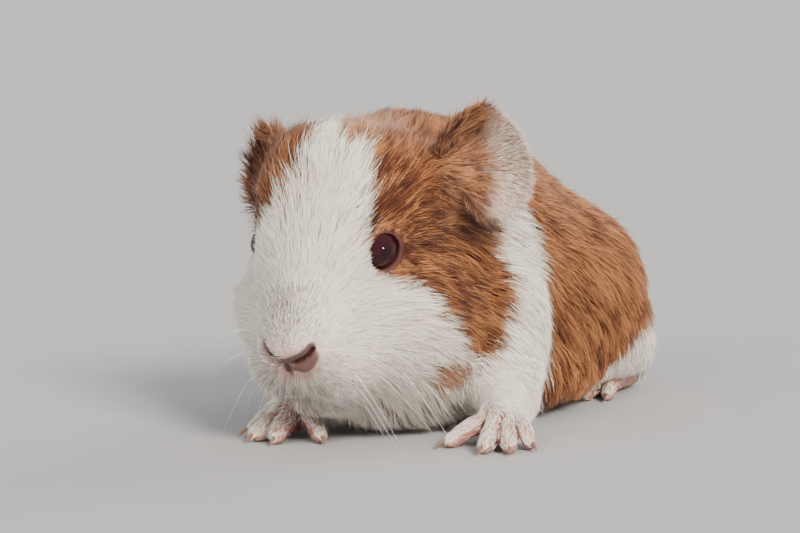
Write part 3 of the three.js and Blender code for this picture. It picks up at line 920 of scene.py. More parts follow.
# %% [markdown]
# The skin shows between the hairs as an undercoat, and bare on lids, nose, ears and feet, where
# it is thin, moist and pink. Its bump is a fine leathery grain.

# %% Material of the skin
def store(target, **values):
    """Keeps one number per point with a mesh, for its material to read."""
    for name, numbers in values.items():
        attribute = target.data.attributes.new(name, "FLOAT", "POINT")
        attribute.data.foreach_set("value", np.asarray(numbers, np.float32))


# The darker and the lighter colour of the bare places.
BLOTCHED = {
    "ear": ((164, 116, 90), (190, 146, 120)),
    "pink": ((150, 94, 86), (182, 122, 112)),
    "nose": ((80, 58, 56), (106, 80, 76)),
    "wing": ((92, 66, 61), (114, 84, 78)),
}


def skin_material():
    shader = Shader("skin", Roughness=0.55, Specular_IOR_Level=0.4, Subsurface_Weight=0.12)
    shader.surface.inputs["Subsurface Radius"].default_value = (0.0012, 0.0006, 0.0004)
    shader.surface.inputs["Subsurface Scale"].default_value = 1.0
    blotches = shader.noise(260)
    under = shader.mix(shader.attribute("ginger"), linear(226, 204, 190), linear(84, 44, 28))
    colour = shader.mix(shader.attribute("flush"), under, linear(206, 162, 150))
    for place, (dark, light) in BLOTCHED.items():
        blotched = shader.mix(blotches, linear(*dark), linear(*light))
        colour = shader.mix(shader.attribute(place), colour, blotched)
    colour = shader.mix(shader.attribute("lid"), colour, linear(86, 56, 54))
    # Painted shade darkens the grooves of nostrils, lips and toes and the inner rim of the lids.
    colour = shader.mix(shader.attribute("crease"), colour, linear(70, 28, 26))
    wet = 0.55 - 0.2 * shader.attribute("nose") - 0.15 * shader.attribute("lid")
    grain = shader.bump(shader.noise(2600, 4.0), 0.00012, 0.6)
    return shader.feed(Base_Color=colour, Roughness=wet, Normal=grain)


skin.data.materials.append(skin_material())
print("material skin has", len(skin.data.materials[0].node_tree.nodes), "nodes")

# %% Maps of the bare places
face = to_head(points)
across, up = np.abs(face[:, 0] - SNOUT_TURN), face[:, 2]
# Lines on the face, as for its relief: the edge of the pad and the wing of a nostril.
NOSE_PAD = [[0, -3.4], [0, -0.6], [2.2, 0.3], [4.6, 1.2], [6.4, 2.4]]
NOSE_WING = [[1.6, -2.0], [3.4, -2.2], [4.8, -2.0], [6.0, -1.2], [6.9, 0.2]]
LIP_CLEFT = [[0, -2], [0, -11]]
RIGHT_WING = 0.35  # how bare the right wing is beside the left one
pad = 1 - step(0.7, 1.5, distance_to_line(across, up, NOSE_PAD))
slit = 1 - step(0.4, 0.9, distance_to_line(across, up, NOSTRIL))
wing = 1 - step(0.7, 1.7, distance_to_line(across, up, NOSE_WING))
wing *= np.where(face[:, 0] > SNOUT_TURN, 1.0, RIGHT_WING)
frontal = step(9, 6, face[:, 1])
cleft = bell(distance_to_line(across, up, LIP_CLEFT), 0.7) * frontal
# Painted shade: the grooves cut into the snout, the inner rim of the lids where the ball sinks
# under them, and the clefts between the toes.
crease = np.zeros(len(points))
for line, width, rise in SNOUT_LINES:
    if rise < 0:
        near = bell(distance_to_line(across, up, line), width)
        crease = np.maximum(crease, near * min(1, -rise))
crease *= frontal
lid_rim_shade = 0.5 * (1 - step(-0.6, -0.3, eye_distance))
bare_nose = np.maximum(np.maximum(pad, slit), wing) * frontal
store(
    skin, lid=lid, nose=bare_nose, wing=wing * (1 - pad) * frontal, pink=np.clip(is_paw, 0, 1),
    flush=step(11, 4, np.linalg.norm(face - [SNOUT_TURN, 1, -3], axis=1)),
    crease=np.maximum(np.maximum(crease, lid_rim_shade), 0.7 * between_toes),
)
print("crease on", round(crease.sum()), "points")

# %% [markdown]
# ## The coat
# Every hair is a thin closed spindle: a point at the root, three corners at its bend and a point.
# It starts a little under the skin, runs along the lie of the coat and is set back over the
# skin at its bend and at its tip, so that no hair cuts through a hollow or stands off a bulge.
# Particle hair would do this faster, but it can't be kept as plain faces. Neighbouring hairs
# lean to the same tip and form locks, and that is what makes fur look like fur.

# %% Fur on the ears
# On the left ear the front margin, from this line of [x, z] in the ear's own frame to its rim, is
# furred like the head, and the rest of its face has only fine hairs. The right ear is furred all
# over. On both the fur opens like a fan from a hub at the root.
FRONT_MARGIN = np.array([[4.5, -11], [3.6, -5], [2.2, -1], [2.2, 4.5], [3.6, 10], [6.0, 17.5]])
FAN_HUB = {"left": [-12, -0.5, 0], "right": [6, -0.5, -7]}

furred_ear = np.zeros(len(points))
for side in SIDES:
    spin, place = ear_place(side)
    local = (points - place) @ spin
    here = share_of(part, f"ear_{side}")
    if side == "left":
        edge = np.interp(local[:, 2], FRONT_MARGIN[:, 1], FRONT_MARGIN[:, 0])
        band = step(1.0, -1.0, local[:, 0] - edge)
    else:
        band = np.ones(len(points))
    climb = unit(local - FAN_HUB[side]) @ spin.T
    near_tip = here * step(8, 14, local[:, 2] / EAR_SKIN[side][1])
    length *= 1 - 0.55 * near_tip
    on_back = normals @ spin[:, 1] >= 0.2
    band = band * here * ~on_back
    lie = lie * (1 - band[:, None]) + climb * band[:, None]
    behind = here * on_back * step(9, 4, local[:, 0])
    furred_ear = np.maximum(furred_ear, np.maximum(band, behind))
furred_ear = spread(furred_ear, edges, 1)
lie = flattened(lie, normals)
# The fur of an ear is longer than the fine hairs, most of all near its root.
ear_height = face[:, 2] - 18
longer = {
    "left": 0.9 - 0.6 * step(8, 13, ear_height),
    "right": 2.0 - 1.5 * step(-3, 7, ear_height),
}
length = length * (1 + furred_ear * np.where(points[:, 0] > 0, longer["left"], longer["right"]))
store(
    skin, ear=is_ear * (1 - 0.9 * furred_ear),
    ginger=np.maximum(skin_ginger * (1 - is_paw), furred_ear),
)
print("fur covers", round(100 * (furred_ear.sum() / is_ear.sum())), "% of the ears")

# %% Sowing the roots
triangles = array_of(skin.data.polygons, "vertices", 3, np.int32)
areas = array_of(skin.data.polygons, "area", 1) / MM**2
face_normals = normals[triangles].mean(1)


def low_side_of(directions):
    """1 where the surface looks down, 0 where it looks aside or up."""
    return step(-0.3, -0.8, directions[:, 2])


def hair_width(length):
    """Long hairs are thicker than short ones; all in millimetres."""
    return 0.066 + 0.0105 * length


# So many hairs lie one over another on the body, on the face of an ear and, more, on its fur.
BODY_LAYERS, EAR_LAYERS, EAR_FUR_LAYERS = 4.8, 2.4, 2.4
HAIR_FILL = 0.6  # of its length and width, the share that a tapering hair fills
MOST_HAIRS = 30  # to a square millimetre

# Lids and nose are bare, and so are the clefts between the toes and below the nose.
bare = lid * 1.1 + bare_nose * 1.4 + bell(eye_distance - 0.1, 0.25) + (eye_distance < 0)
bare = np.maximum(np.clip(bare, 0, 1), np.maximum(0.85 * between_toes, 0.9 * cleft))
layers = BODY_LAYERS * (1 - is_ear) * (1 - 0.78 * is_paw)
layers = layers + (EAR_LAYERS + EAR_FUR_LAYERS * furred_ear) * is_ear
# Fewer hairs grow on the snout, on the sides of the toes and underneath, where none are seen.
thin_snout = 1 - 0.45 * step(9, 3, np.linalg.norm(head_points - [SNOUT_TURN, 0, -2], axis=1))
toe_sides = 1 - 0.9 * is_paw * step(0.5, 0.1, normals[:, 2])
density = np.clip(layers / (HAIR_FILL * length * hair_width(length)), 0, MOST_HAIRS)
density = density * (1 - bare) * thin_snout * toe_sides
density = density[triangles].mean(1) * (1 - 0.72 * low_side_of(face_normals))
HAIRS = int((areas * density).sum())
print("skin of", round(areas.sum() / 100), "cm2 carries", HAIRS, "hairs")

# %% Roots spread evenly over the skin
steps = np.cumsum(areas * density)
picks = (np.arange(HAIRS) + rng.random(HAIRS)) / HAIRS * steps[-1]
home = np.searchsorted(steps, picks).clip(0, len(triangles) - 1)
corner = rng.dirichlet((1, 1, 1), HAIRS)[:, :, None]


def at_roots(values):
    """A map of the skin's points, read at the hairs' roots."""
    return (values[triangles[home]].reshape(HAIRS, 3, -1) * corner).sum(1)


root = at_roots(points)
root_normal = unit(at_roots(normals))
root_lie = at_roots(lie)
hair_length = at_roots(length)[:, 0]
coat_depth = at_roots(depth)[:, 0]
on_head, on_ear, on_paw, ear_band, on_pad = (
    at_roots(m)[:, 0] for m in (is_head, is_ear, is_paw, furred_ear, pads)
)
on_ear_face = on_ear * (1 - ear_band)
root_head = to_head(root)
right_side = root[:, 0] < 0
hair_part = np.array(PARTS)[part[triangles[home, 0]]]
print("roots from", root.min(0).round(1), "to", root.max(0).round(1))

# %% Locks
SMALL_LOCK, BIG_LOCK = 9, 90  # hairs in one, on average


def nearest_leader(places, leaders):
    """For each place the nearest of the hairs that lead a lock."""
    tree = KDTree(len(leaders))
    for i, k in enumerate(leaders):
        tree.insert(places[k], i)
    tree.balance()
    return np.array([leaders[tree.find(p)[1]] for p in places])


small_lock = nearest_leader(root, np.flatnonzero(rng.random(HAIRS) < 1 / SMALL_LOCK))
big_lock = nearest_leader(root, np.flatnonzero(rng.random(HAIRS) < 1 / BIG_LOCK))


def shared(locks, size):
    """A random number that all hairs of a lock share."""
    return rng.normal(0, size, HAIRS)[locks]


# Locks and single hairs swing aside by a few degrees, short hairs less.
swing = np.radians(shared(big_lock, 9) + shared(small_lock, 8) + rng.normal(0, 6, HAIRS))[:, None]
swing *= (0.45 + 0.55 * step(3, 8, hair_length))[:, None]
root_lie = flattened(root_lie, root_normal)
way = root_lie * np.cos(swing) + np.cross(root_normal, root_lie) * np.sin(swing)
reach = hair_length * np.exp(shared(small_lock, 0.1) + rng.normal(0, 0.16, HAIRS))
print(len(set(small_lock)), "small locks in", len(set(big_lock)), "big ones")

# %% Tufts that stand out
# Each has a place in the head's frame, a radius, the way its hairs point in the trunk's frame,
# and how much longer and higher they grow: round the ears, on the nape and on one cheek.
TUFTS = [
    ([19, 50, 20], 6, [0.5, 0.1, 0.85], 3.0, 2.6),
    ([14, 52, 24], 5, [0.6, 0.2, 0.75], 2.0, 1.6),
    ([-13, 44, 27], 6, [-0.5, 0.0, 0.85], 2.5, 2.0),
    ([-17, 46, 20], 6, [-0.6, 0.0, 0.8], 3.0, 3.0),
    ([25, 50, 5], 5.5, [0.8, 0.3, -0.3], 3.0, 2.4),
    ([27, 47, -1], 5, [0.7, 0.4, -0.5], 2.0, 1.4),
    ([-2, 62, 24], 8, [0.0, 0.4, 0.9], 1.5, 2.6),
    ([18, 59, 18], 5, [0.3, -0.2, 0.9], 2.0, 2.6),
    ([-20, 17, 1], 5, [-0.8, 0.1, 0.2], 2.5, 2.4),
]
TUFT_TURN = 0.75  # how far a tuft turns its hairs to its own way
HANG_LIFT, HANG_REACH = 3.2, 1.2  # of the coat under chin and chest, millimetres

tuft_lift = np.zeros(HAIRS)
for place, radius, direction, longer, higher in TUFTS:
    share = close_to(root_head, place, radius) * (1 - on_ear)
    way = way + (unit(np.array(direction)) - way) * (TUFT_TURN * share)[:, None]
    reach = reach + longer * share
    tuft_lift = np.maximum(tuft_lift, higher * share)
way = flattened(way, root_normal)
# Under the chin and chest the coat hangs down almost to the floor.
hanging = at_roots(low_side_of(normals))[:, 0] * step(-30, -42, root[:, 1]) * (1 - on_paw)
tuft_lift += HANG_LIFT * hanging
reach = reach + HANG_REACH * hanging
print("tufts lift the coat by up to", tuft_lift.max().round(1), "mm")

# %% How far hairs stand off
# The tip of a hair stands off the skin as far as the coat is deep there, more or less, and
# farther in a fluffy place or where the hair strays. More hairs stray on the crown.
FLUFFY_EAR, FLUFFY_PAD = 0.12, 0.2  # shares of the hair's length
STRAYS, CROWN_STRAYS = 0.012, 0.03  # shares of the hairs

lift = (coat_depth + 0.05 * hair_length) * (0.45 + 0.7 * rng.random(HAIRS))
lift *= np.exp(shared(small_lock, 0.15))
lift += FLUFFY_EAR * hair_length * ear_band + FLUFFY_PAD * hair_length * on_pad * right_side
crown = step(18, 26, root_head[:, 2]) * step(20, 28, root_head[:, 1])
stray = rng.random(HAIRS) < (STRAYS + CROWN_STRAYS * crown) * (1 - 0.8 * on_ear)
lift += tuft_lift + np.where(stray, (0.1 + 0.15 * crown) * hair_length + 0.6, 0)
print(int(stray.sum()), "stray hairs")

# %% Growing the hairs
ROOT_DEPTH = 0.12  # of a root under the skin, millimetres
FLOOR_GAP = 0.15  # least height of a hair over the floor
BEND_LIFT, BEND_SWING = 0.7, 0.4  # at the bend, as shares of those at the tip
STRAIGHT_ON = 1.9  # a hair's length as a multiple of its bend's distance
FOLLOW = 0.78  # how closely a hair follows the skin, rather than running straight on
EAR_ARCH = 0.25  # how high the hairs of an ear arch, millimetres

skin_tree = BVHTree.FromObject(skin, bpy.context.evaluated_depsgraph_get())


def foot_on_skin(places):
    """The nearest points of the skin, with the normals and the lie of the coat there."""
    feet, faces = np.empty_like(places), np.empty(len(places), int)
    for i, place in enumerate(to_scene(places)):
        feet[i], _, faces[i], _ = skin_tree.find_nearest(place)
    corners = triangles[faces]
    return feet / MM - TRUNK_ORIGIN, unit(normals[corners].mean(1)), unit(lie[corners].mean(1))


half = (reach * 0.5)[:, None]
foot, foot_normal, foot_lie = foot_on_skin(root + way * half)
bend = foot + foot_normal * (BEND_LIFT * lift)[:, None]
bend_swing = BEND_SWING * swing
onward = unit(way + foot_lie)
onward = onward * np.cos(bend_swing) + np.cross(foot_normal, onward) * np.sin(bend_swing)
foot, foot_normal, _ = foot_on_skin(foot + onward * half)
tip = foot + foot_normal * lift[:, None]
# Hairs on an ear run straight on over its rim; the others follow the skin.
straight = root + (bend - root) * STRAIGHT_ON
follow = (FOLLOW * (1 - on_ear))[:, None]
tip = tip * follow + straight * (1 - follow)
arched = root + (tip - root) * 0.5 + root_normal * EAR_ARCH
bend = bend * (1 - on_ear[:, None]) + arched * on_ear[:, None]
root = root - root_normal * ROOT_DEPTH
root_head = to_head(root)
for ends in (bend, tip):
    ends[:, 2] = np.maximum(ends[:, 2], FLOOR_GAP + 0.5 * rng.random(HAIRS))
print("hairs", (np.linalg.norm(tip - root, axis=1)).mean().round(2), "mm long on average")

# %% Drawing the hairs together
# The hairs of a lock are drawn to the bend and the tip of the one that leads it.
for locks, most in ((small_lock, 0.45), (big_lock, 0.18)):
    pull = (most * step(1.5, 6, hair_length) * (0.3 + 0.7 * rng.random(HAIRS)) * ~stray)[:, None]
    bend = bend + (bend[locks] - bend) * pull * 0.4
    tip = tip + (tip[locks] - tip) * pull
RING_WIDTH = 1.73  # of a triangle, as a multiple of its corners' distance from its middle
thick = hair_width(np.clip(hair_length, 0, 10)) * (0.8 + 0.4 * rng.random(HAIRS)) / RING_WIDTH
thick *= (1 - 0.35 * on_ear_face) * np.where(stray, 0.7, 1)
print("hairs about", (thick.mean() * RING_WIDTH).round(2), "mm thick")

# %% Ginger and white hairs
# The edges of the markings are ragged by about a millimetre, lock by lock and hair by hair.
ragged = rng.normal(0, 0.7, HAIRS) + shared(small_lock, 0.5)
hair_ginger = ginger(bend, ragged) * (1 - on_paw) * (1 - on_ear)
spin, place = ear_place("left")
near_ear = (root - place) @ spin
# The fine hairs on the face of the left ear are white with some ginger ones, more at its root.
streaks = np.where(rng.random(HAIRS) < 0.35, 0.6, 0.0)
face_ginger = 0.2 + streaks + (0.8 - streaks) * 0.75 * step(11, 2, near_ear[:, 0])
face_ginger = np.where(right_side, 0.5, face_ginger)
hair_ginger += on_ear * (0.97 * ear_band + face_ginger * (1 - ear_band))
# The nape is paler than the saddle behind it.
nape = step(1.3, 0.8, np.linalg.norm((root_head - [5, 54, 27]) / [7, 15, 10], axis=1))
hair_ginger *= 1 - 0.1 * nape
# The spot under the cheek is only washed with colour.
in_spot = np.linalg.norm((bend - SPOT["middle"]) / (SPOT["radii"] * 1.5), axis=1) < 1
hair_ginger *= np.where(in_spot & (root[:, 2] < 24), 0.93, 1)
print(int(hair_ginger.sum()), "ginger hairs")

# %% Dark and pale hairs
# A tone from 0, dark, to 1, pale, differs from lock to lock and from hair to hair.
tone = 0.52 + shared(big_lock, 0.2) + shared(small_lock, 0.2) + rng.normal(0, 0.24, HAIRS)
tone -= 0.17 * on_head * (1 - on_ear)
# The nape and the spot are paler, and the tuft below the left ear is lightened with painted light
# against the ear's shadow.
PAINTED_LIGHT_BELOW_EAR = [25.5, 50.5, 4]
tone += 0.5 * nape + 0.3 * in_spot
tone += 0.4 * close_to(root_head, PAINTED_LIGHT_BELOW_EAR, 4.5)
tone = np.clip(tone - 0.15 * on_ear * right_side, 0, 1)
print("tone", tone.mean().round(2), "on average")

# %% Black tips, and painted shade at the mouth
# Some hairs end in black, beside the blaze in front of the eyes and at the tip of the left ear.
# Each of these places has a radius and the chance of a black tip.
BLACK_TIPS = [([14.5, 31, 24], 4, 0.35), ([13, 24, 19], 4, 0.4), ([8, 45, 31], 4, 0.1)]
EAR_TIP = [7.5, -7, 16]
black_chance = np.zeros(HAIRS)
for middle, radius, chance in BLACK_TIPS:
    for flip in (1, -1):
        near = close_to(root_head, np.array(middle) * [flip, 1, 1], radius)
        black_chance = np.maximum(black_chance, chance * near)
black_chance = np.maximum(black_chance, 0.7 * close_to(near_ear, EAR_TIP, 3))
dark_tips_and_shade = (rng.random(HAIRS) < black_chance).astype(float)
# Short dark hairs are strewn over the bridge of the nose and the upper lip.
snout = root_head - [SNOUT_TURN, 4, -1]
strewn = np.exp(-((snout[:, 0] / 6.5) ** 2) - (snout[:, 1] / 8) ** 2)
strewn = 0.5 * strewn * (np.abs(snout[:, 2] + 1) < 13)
dark_tips_and_shade = np.maximum(dark_tips_and_shade, 0.8 * (rng.random(HAIRS) < strewn) * (hair_ginger < 0.5))
# The fur is thin along the cleft of the lip and the mouth, and its hairs there are darkened with
# painted shade of these slits.
for line, breadth, strength in ([[0, -2.5], [0, -11]], 0.5, 0.7), (MOUTH, 0.6, 0.5):
    beside = distance_to_line(np.abs(snout[:, 0]), root_head[:, 2], line)
    dark_tips_and_shade = np.maximum(dark_tips_and_shade, strength * bell(beside, breadth) * (root_head[:, 1] < 8))
print(int(dark_tips_and_shade.sum()), "black-tipped hairs")

# %% [markdown]
# The hairs are cut into pieces of coat, each small enough to handle. So that the colours can be
# kept as a picture when the model is used elsewhere, every hair also gets a tiny patch of its own
# on a map, at its root's place on the unrolled skin of its region.

# %% Closed hairs from arrays
RING = [(math.sin(a), math.cos(a)) for a in np.radians([90, 210, 330])]
RING_HEIGHT = 0.7  # of the ring over the skin, as a share of its width
PATCH = 0.003  # side of a hair's patch, as a share of the map
HAIR_POINTS, BEND_AT = 5, 0.45  # and how far along the hair its bend is
HAIR_FACES = np.array([(0, 1, 2), (0, 2, 3), (0, 3, 1), (4, 2, 1), (4, 3, 2), (4, 1, 3)])


def ring_round(centre, along_axis, outwards, radius):
    """Three points round each hair, which is a little flat against the skin."""
    aside = unit(np.cross(along_axis, outwards))
    above = np.cross(aside, along_axis)
    around = [(aside * c + above * s * RING_HEIGHT) * radius[:, None] for s, c in RING]
    return np.stack([centre + away for away in around], 1)


def spindles(name, start, middle, end, outwards, radius, soft, where, values):
    """Closed hairs: a point under the skin, three corners at the bend and a point at the tip."""
    count = len(start)
    ring = ring_round(middle, unit(end - start), outwards, radius)
    places = np.concatenate([start[:, None], ring, end[:, None]], 1)
    first = (np.arange(count) * HAIR_POINTS)[:, None, None]
    faces = (HAIR_FACES[None] + first).reshape(-1, 3)
    made = mesh_object(name, to_scene(places.reshape(-1, 3)), faces)
    # Light falls on a hair nearly as it does on the body below it, which makes the coat soft.
    soft = soft[:, None, None]
    facing = outwards[:, None] * soft + unit(places - middle[:, None]) * (1 - soft)
    made.data.normals_split_custom_set_from_vertices(unit(facing).reshape(-1, 3).tolist())
    along = np.array([0, BEND_AT, BEND_AT, BEND_AT, 1])
    every = {key: np.repeat(value, HAIR_POINTS) for key, value in values.items()}
    store(made, along=np.tile(along, count), **every)
    small = np.stack([np.array([0.5, 0, 0.5, 1, 0.5]), along], 1) * PATCH
    map_points = (where * (1 - PATCH))[:, None] + small[None]
    map_layer = made.data.uv_layers.new(name="OFBake")
    corners = map_points.reshape(-1, 2)[faces.ravel()]
    map_layer.data.foreach_set("uv", corners.astype(np.float32).ravel())
    return made


print("a hair has", len(HAIR_FACES), "faces")

# %% Regions of the coat
MUZZLE_END = 20  # along the head from the nose, millimetres
NECK_END, FLANK_END = -12, 28  # along the trunk
HEAD_AXIS = [0, 38, 6]  # a place inside the head that its coat rolls out round


def rolled_out(places, middle, axis, around):
    """Angle round an axis and distance along it, each as 0 to 1 over the region."""
    axis = np.array(axis, float)
    local = places - middle
    zero = unit(np.cross(axis, around))
    angle = np.arctan2(local @ np.cross(axis, zero), local @ zero)
    both = np.stack([angle, local @ axis], 1)
    low, high = both.min(0), both.max(0)
    return (both - low) / (high - low)


def map_places(name, some):
    """The places of a region's hairs on its map: limbs roll out round an upright axis."""
    if "leg" in name:
        return rolled_out(root[some], root[some].mean(0), [0, 0, 1], [1, 0, 0])
    if name.split("_")[1] in ("muzzle", "cheek", "ear"):
        return rolled_out(root_head[some], HEAD_AXIS, [0, -1, 0], [1, 0, 0])
    return rolled_out(root[some], [0, 0, SPINE_HEIGHT], [0, 1, 0], [1, 0, 0])


def regions(side):
    """The pieces of coat on one side, each with a mark on the hairs that it holds."""
    head_half = (hair_part == "head") & ((root_head[:, 0] > 0) == (side == "left"))
    half = np.isin(hair_part, ["neck", "torso"]) & ((root[:, 0] > 0) == (side == "left"))
    own = np.char.endswith(hair_part, side)
    before_eyes, along = root_head[:, 1] < MUZZLE_END, root[:, 1]
    return {
        "muzzle": head_half & before_eyes,
        "cheek": head_half & ~before_eyes,
        "ear": hair_part == f"ear_{side}",
        "foreleg": own & np.char.startswith(hair_part, "fore"),
        "hindleg": own & np.char.startswith(hair_part, "hind"),
        "neck": half & (along < NECK_END),
        "flank": half & (along >= NECK_END) & (along < FLANK_END),
        "rump": half & (along >= FLANK_END),
    }


print("both sides have", ", ".join(regions("left")))

# %% The pieces of coat
# Light falls on a hair partly as on the body below it. On the left ear it does so only where the
# key light shines on it, and the hairs of the right ear are left alone.
SOFTNESS = 0.65
KEY_PLACE = (0.78, -0.42, 0.62)
lit_ear = np.clip(2 * root_normal @ unit(np.array(KEY_PLACE)), 0, 1)
softness = SOFTNESS * (1 - on_ear + on_ear * lit_ear * ~right_side)

coats = []
for kind, side, chosen in ((k, s, c) for s in SIDES for k, c in regions(s).items()):
    some = np.flatnonzero(chosen)
    name = f"coat_{kind}_{side}"
    piece = spindles(
        name, root[some], bend[some], tip[some], root_normal[some], thick[some], softness[some],
        map_places(name, some),
        {"ginger": hair_ginger[some], "tone": tone[some], "dark_tips_and_shade": dark_tips_and_shade[some]},
    )
    piece.data.materials.append(coat)
    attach(piece, "root")
    "coat_red" if hair_ginger[some].mean() > 0.5 else "coat_white"
    coats.append(piece)
    print(piece.name, len(piece.data.polygons), "faces")
print(len(coats), "pieces of coat,", sum(len(c.data.polygons) for c in coats), "faces in all")

# %% [markdown]
# ## Whiskers
# Ten long, stiff white hairs spring from each whisker pad, arch outwards and droop at the
# ends. A curve with a bevel would do, but arrays taper them and keep their faces few.

# %% Whiskers
WHISKER_ROOTS = [  # in the head's frame, on its left pad
    [9, 6, -3], [12, 9, -2], [15, 13, -3], [9, 6, -6], [12, 9, -6], [16, 14, -7],
    [8, 7, -9], [12, 10, -10], [16, 15, -12], [7, 8, -13],
]
WHISKER_STEPS, WHISKER_SIDES = 12, 4
WHISKER_LENGTHS, WHISKER_RADIUS = (13, 21), 0.075
whisker_rng = np.random.default_rng(7)


def whisker(place, side):
    """Rings of points along one whisker, from a place near the skin."""
    foot, outwards, along_coat = (v[0] for v in foot_on_skin(from_head([place])))
    long = whisker_rng.uniform(*WHISKER_LENGTHS)
    start = unit(0.75 * outwards + 0.5 * along_coat + whisker_rng.normal(0, 0.12, 3))
    droop = np.array([0.1 * SIDES[side], 0.25, -0.62]) * whisker_rng.uniform(0.7, 1.2)
    t = np.linspace(0, 1, WHISKER_STEPS)[:, None]
    line = foot - outwards * 0.3 + long * (start * t + droop * t**2)
    line[:, 2] = np.maximum(line[:, 2], 0.25)
    ahead = unit(np.gradient(line, axis=0))
    one = unit(np.cross(ahead, [0.3, 0.2, 1.0]))
    other = np.cross(ahead, one)
    radius = WHISKER_RADIUS * (1 - 0.93 * t)
    turn_by = np.arange(WHISKER_SIDES) * 2 * math.pi / WHISKER_SIDES
    ring = one[:, None] * np.cos(turn_by)[:, None] + other[:, None] * np.sin(turn_by)[:, None]
    return line[:, None] + ring * radius[:, None]


def tube_faces(rings, sides):
    """Quads round a tube of rings, cut into triangles, with both ends closed."""
    faces = []
    for r in range(rings - 1):
        for s in range(sides):
            a, b = r * sides + s, r * sides + (s + 1) % sides
            faces += [(a, b, b + sides), (a, b + sides, a + sides)]
    last = (rings - 1) * sides
    faces += [(0, k + 1, k) for k in range(1, sides - 1)]
    faces += [(last, last + k, last + k + 1) for k in range(1, sides - 1)]
    return np.array(faces)


def whisker_material():
    shader = Shader("whisker", Roughness=0.35, Specular_IOR_Level=0.5)
    shades = linear(236, 230, 222), linear(252, 250, 246)
    return shader.feed(Base_Color=shader.mix(shader.noise(900), *shades))


white_hair = whisker_material()
for side in SIDES:
    tubes = [whisker(np.array(place) * [SIDES[side], 1, 1], side) for place in WHISKER_ROOTS]
    size = WHISKER_STEPS * WHISKER_SIDES
    one_tube = tube_faces(WHISKER_STEPS, WHISKER_SIDES)
    whiskers = mesh_object(
        f"whiskers_{side}", to_scene(np.concatenate(tubes).reshape(-1, 3)),
        np.concatenate([one_tube + k * size for k in range(len(tubes))]),
    )
    whiskers.data.materials.append(white_hair)
    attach(whiskers, "root")
    print(whiskers.name, "has", len(whiskers.data.polygons), "faces")

# %% [markdown]
# ## The eyes
# A guinea pig's eye is a ball with hardly any white to be seen. With little pigment it glows dark
# ruby round a deeper pupil. The ball begins as a sphere, and its front is drawn out a little to
# the cornea, which is what gives the eye its one sharp highlight.

# %% Eyeballs
CORNEA, CORNEA_RISE = 3.6, 0.3  # its half width, and how far it is drawn out
EYE_RADIUS = EYE["ball"] + 0.3  # a little more than the solid's, so that it fills the lids


def eye_material():
    shader = Shader(
        "ruby eye", Roughness=0.3, Specular_IOR_Level=0.0,
        Coat_Weight=1.0, Coat_Roughness=0.02, Coat_IOR=1.38,
    )
    from_axis = shader.attribute("from_axis")
    iris = shader.mix(shader.ramp(from_axis, 1.4, 2.6), linear(32, 5, 11), linear(46, 9, 17))
    colour = shader.mix(shader.ramp(from_axis, 3.4, 4.4), iris, linear(50, 12, 19))
    return shader.feed(Base_Color=colour)


ruby = eye_material()
for side in SIDES:
    bpy.ops.mesh.primitive_uv_sphere_add(
        segments=64, ring_count=40, radius=1, rotation=(math.pi / 2, 0, 0),
    )
    eye = bpy.context.object
    eye.name = f"eyeball_{side}"
    eye.scale = (EYE_RADIUS,) * 3
    bpy.context.view_layer.update()
    bpy.ops.object.transform_apply(location=False)
    co = array_of(eye.data.vertices, "co", 3)
    from_axis = np.hypot(co[:, 0], co[:, 2])
    front = (co[:, 1] < 0) * (1 - step(0, CORNEA, from_axis))
    co[:, 1] -= CORNEA_RISE * front
    eye.data.vertices.foreach_set("co", co.ravel())
    store(eye, from_axis=np.where(co[:, 1] < 0, from_axis, 5.0))
    placed(eye, *eye_place(side))
    only(eye)
    bpy.ops.object.shade_smooth()
    eye.data.materials.append(ruby)
    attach(eye, "root")
    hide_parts(f"eye_{side}")
print("eyeballs of", round(EYE_RADIUS * 2, 1), "mm")

# %% [markdown]
# ## Claws
# The claws of the solids have the right shape; they only need the look of pale horn.

# %% Horn
def horn_material():
    shader = Shader("horn", Roughness=0.35, Specular_IOR_Level=0.5, Subsurface_Weight=0.1)
    shader.surface.inputs["Subsurface Radius"].default_value = (0.0008, 0.0005, 0.0004)
    streaks = shader.noise(1500)
    return shader.feed(Base_Color=shader.mix(streaks, linear(112, 76, 62), linear(158, 120, 100)))


horn = horn_material()
claws = [node for name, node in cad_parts.items() if name.startswith("claw")]
for claw in claws:
    claw.data.materials.clear()
    claw.data.materials.append(horn)
print(len(claws), "claws")

# %% [markdown]
# ## The studio
# A soft key light shines from the right, a broad weak one fills from the front and one from
# behind rims the coat. They are suns that look wide: their shadows are soft, and the floor is lit
# evenly as far as it reaches. A small lamp would make the fur look like wire.

# %% Floor and lights
FLOOR = [linear(168, 167, 167), linear(174, 173, 173)]


def floor_material():
    shader = Shader("floor", Roughness=1.0, Specular_IOR_Level=0.0)
    return shader.feed(Base_Color=shader.mix(shader.noise(40), *FLOOR))


bpy.ops.mesh.primitive_plane_add(size=200)
floor = bpy.context.object
floor.name = "studio_floor"
floor.data.materials.append(floor_material())

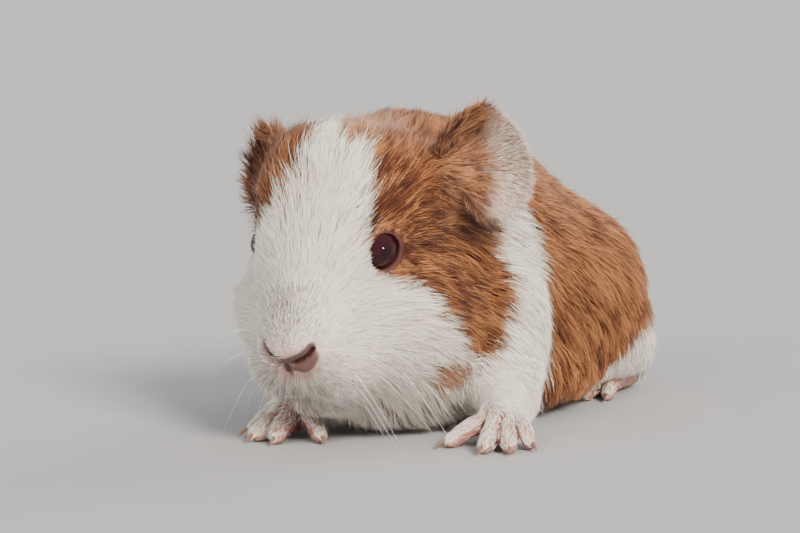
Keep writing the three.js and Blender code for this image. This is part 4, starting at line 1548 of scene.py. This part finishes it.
# A lamp is a place that it shines from, a strength, how wide it looks and a colour.
SUNS = {
    "key": (KEY_PLACE, 5.2, 0.35, (1.0, 0.93, 0.84)),
    "fill": ((-0.20, -1.0, 0.45), 1.4, 0.6, (1.0, 0.97, 0.93)),
    "rim": ((0.30, 0.90, 0.55), 1.1, 0.5, (1.0, 1.0, 1.0)),
}
for name, (place, strength, width_seen, colour) in SUNS.items():
    turned = Vector(place).to_track_quat("Z", "Y").to_euler()
    bpy.ops.object.light_add(type="SUN", location=Vector(place), rotation=turned)
    lamp = bpy.context.object
    lamp.name = name
    lamp.data.energy, lamp.data.angle, lamp.data.color = strength, width_seen, colour
    lamp.visible_glossy = False

# One small lamp at the height of the eyes gives them their round catch light.
right = Vector((math.cos(AZIMUTH), math.sin(AZIMUTH), 0))
CATCH_ASIDE, CATCH_BACK, CATCH_UP = 0.29, 0.42, 0.07
catch_place = AIM + right * CATCH_ASIDE + back * CATCH_BACK + Vector((0, 0, CATCH_UP))
turned = (catch_place - AIM).to_track_quat("Z", "Y").to_euler()
bpy.ops.object.light_add(type="AREA", location=catch_place, rotation=turned)
catch = bpy.context.object
catch.name = "catch_light"
catch.data.shape = "DISK"
catch.data.size, catch.data.energy = 0.065, 0.6
catch.visible_diffuse = False
print("lights:", ", ".join(SUNS), "and", catch.name)

# %% Sky and backdrop
SKY_COLOUR, SKY_STRENGTH = (0.95, 0.96, 1.0, 1), 0.75

world = bpy.data.worlds.new("studio")
bpy.context.scene.world = world
world.use_nodes = True
tree = world.node_tree
sky = tree.nodes["Background"]
sky.inputs["Color"].default_value = SKY_COLOUR
sky.inputs["Strength"].default_value = SKY_STRENGTH
# Seen directly, the backdrop is as bright as the lit floor, so that no horizon shows.
floor_light = SKY_STRENGTH * np.array(SKY_COLOUR[:3])
for place, strength, _, colour in SUNS.values():
    floor_light += strength * unit(np.array(place))[2] / math.pi * np.array(colour)
backdrop = tree.nodes.new("ShaderNodeBackground")
backdrop.inputs["Color"].default_value = (*(floor_light * np.mean(FLOOR, axis=0)[:3]), 1)
backdrop.inputs["Strength"].default_value = 1.0
seen = tree.nodes.new("ShaderNodeLightPath")
either = tree.nodes.new("ShaderNodeMixShader")
tree.links.new(seen.outputs["Is Camera Ray"], either.inputs["Fac"])
tree.links.new(sky.outputs[0], either.inputs[1])
tree.links.new(backdrop.outputs[0], either.inputs[2])
tree.links.new(either.outputs[0], tree.nodes["World Output"].inputs["Surface"])
print("backdrop colour", [round(c, 3) for c in backdrop.inputs["Color"].default_value[:3]])
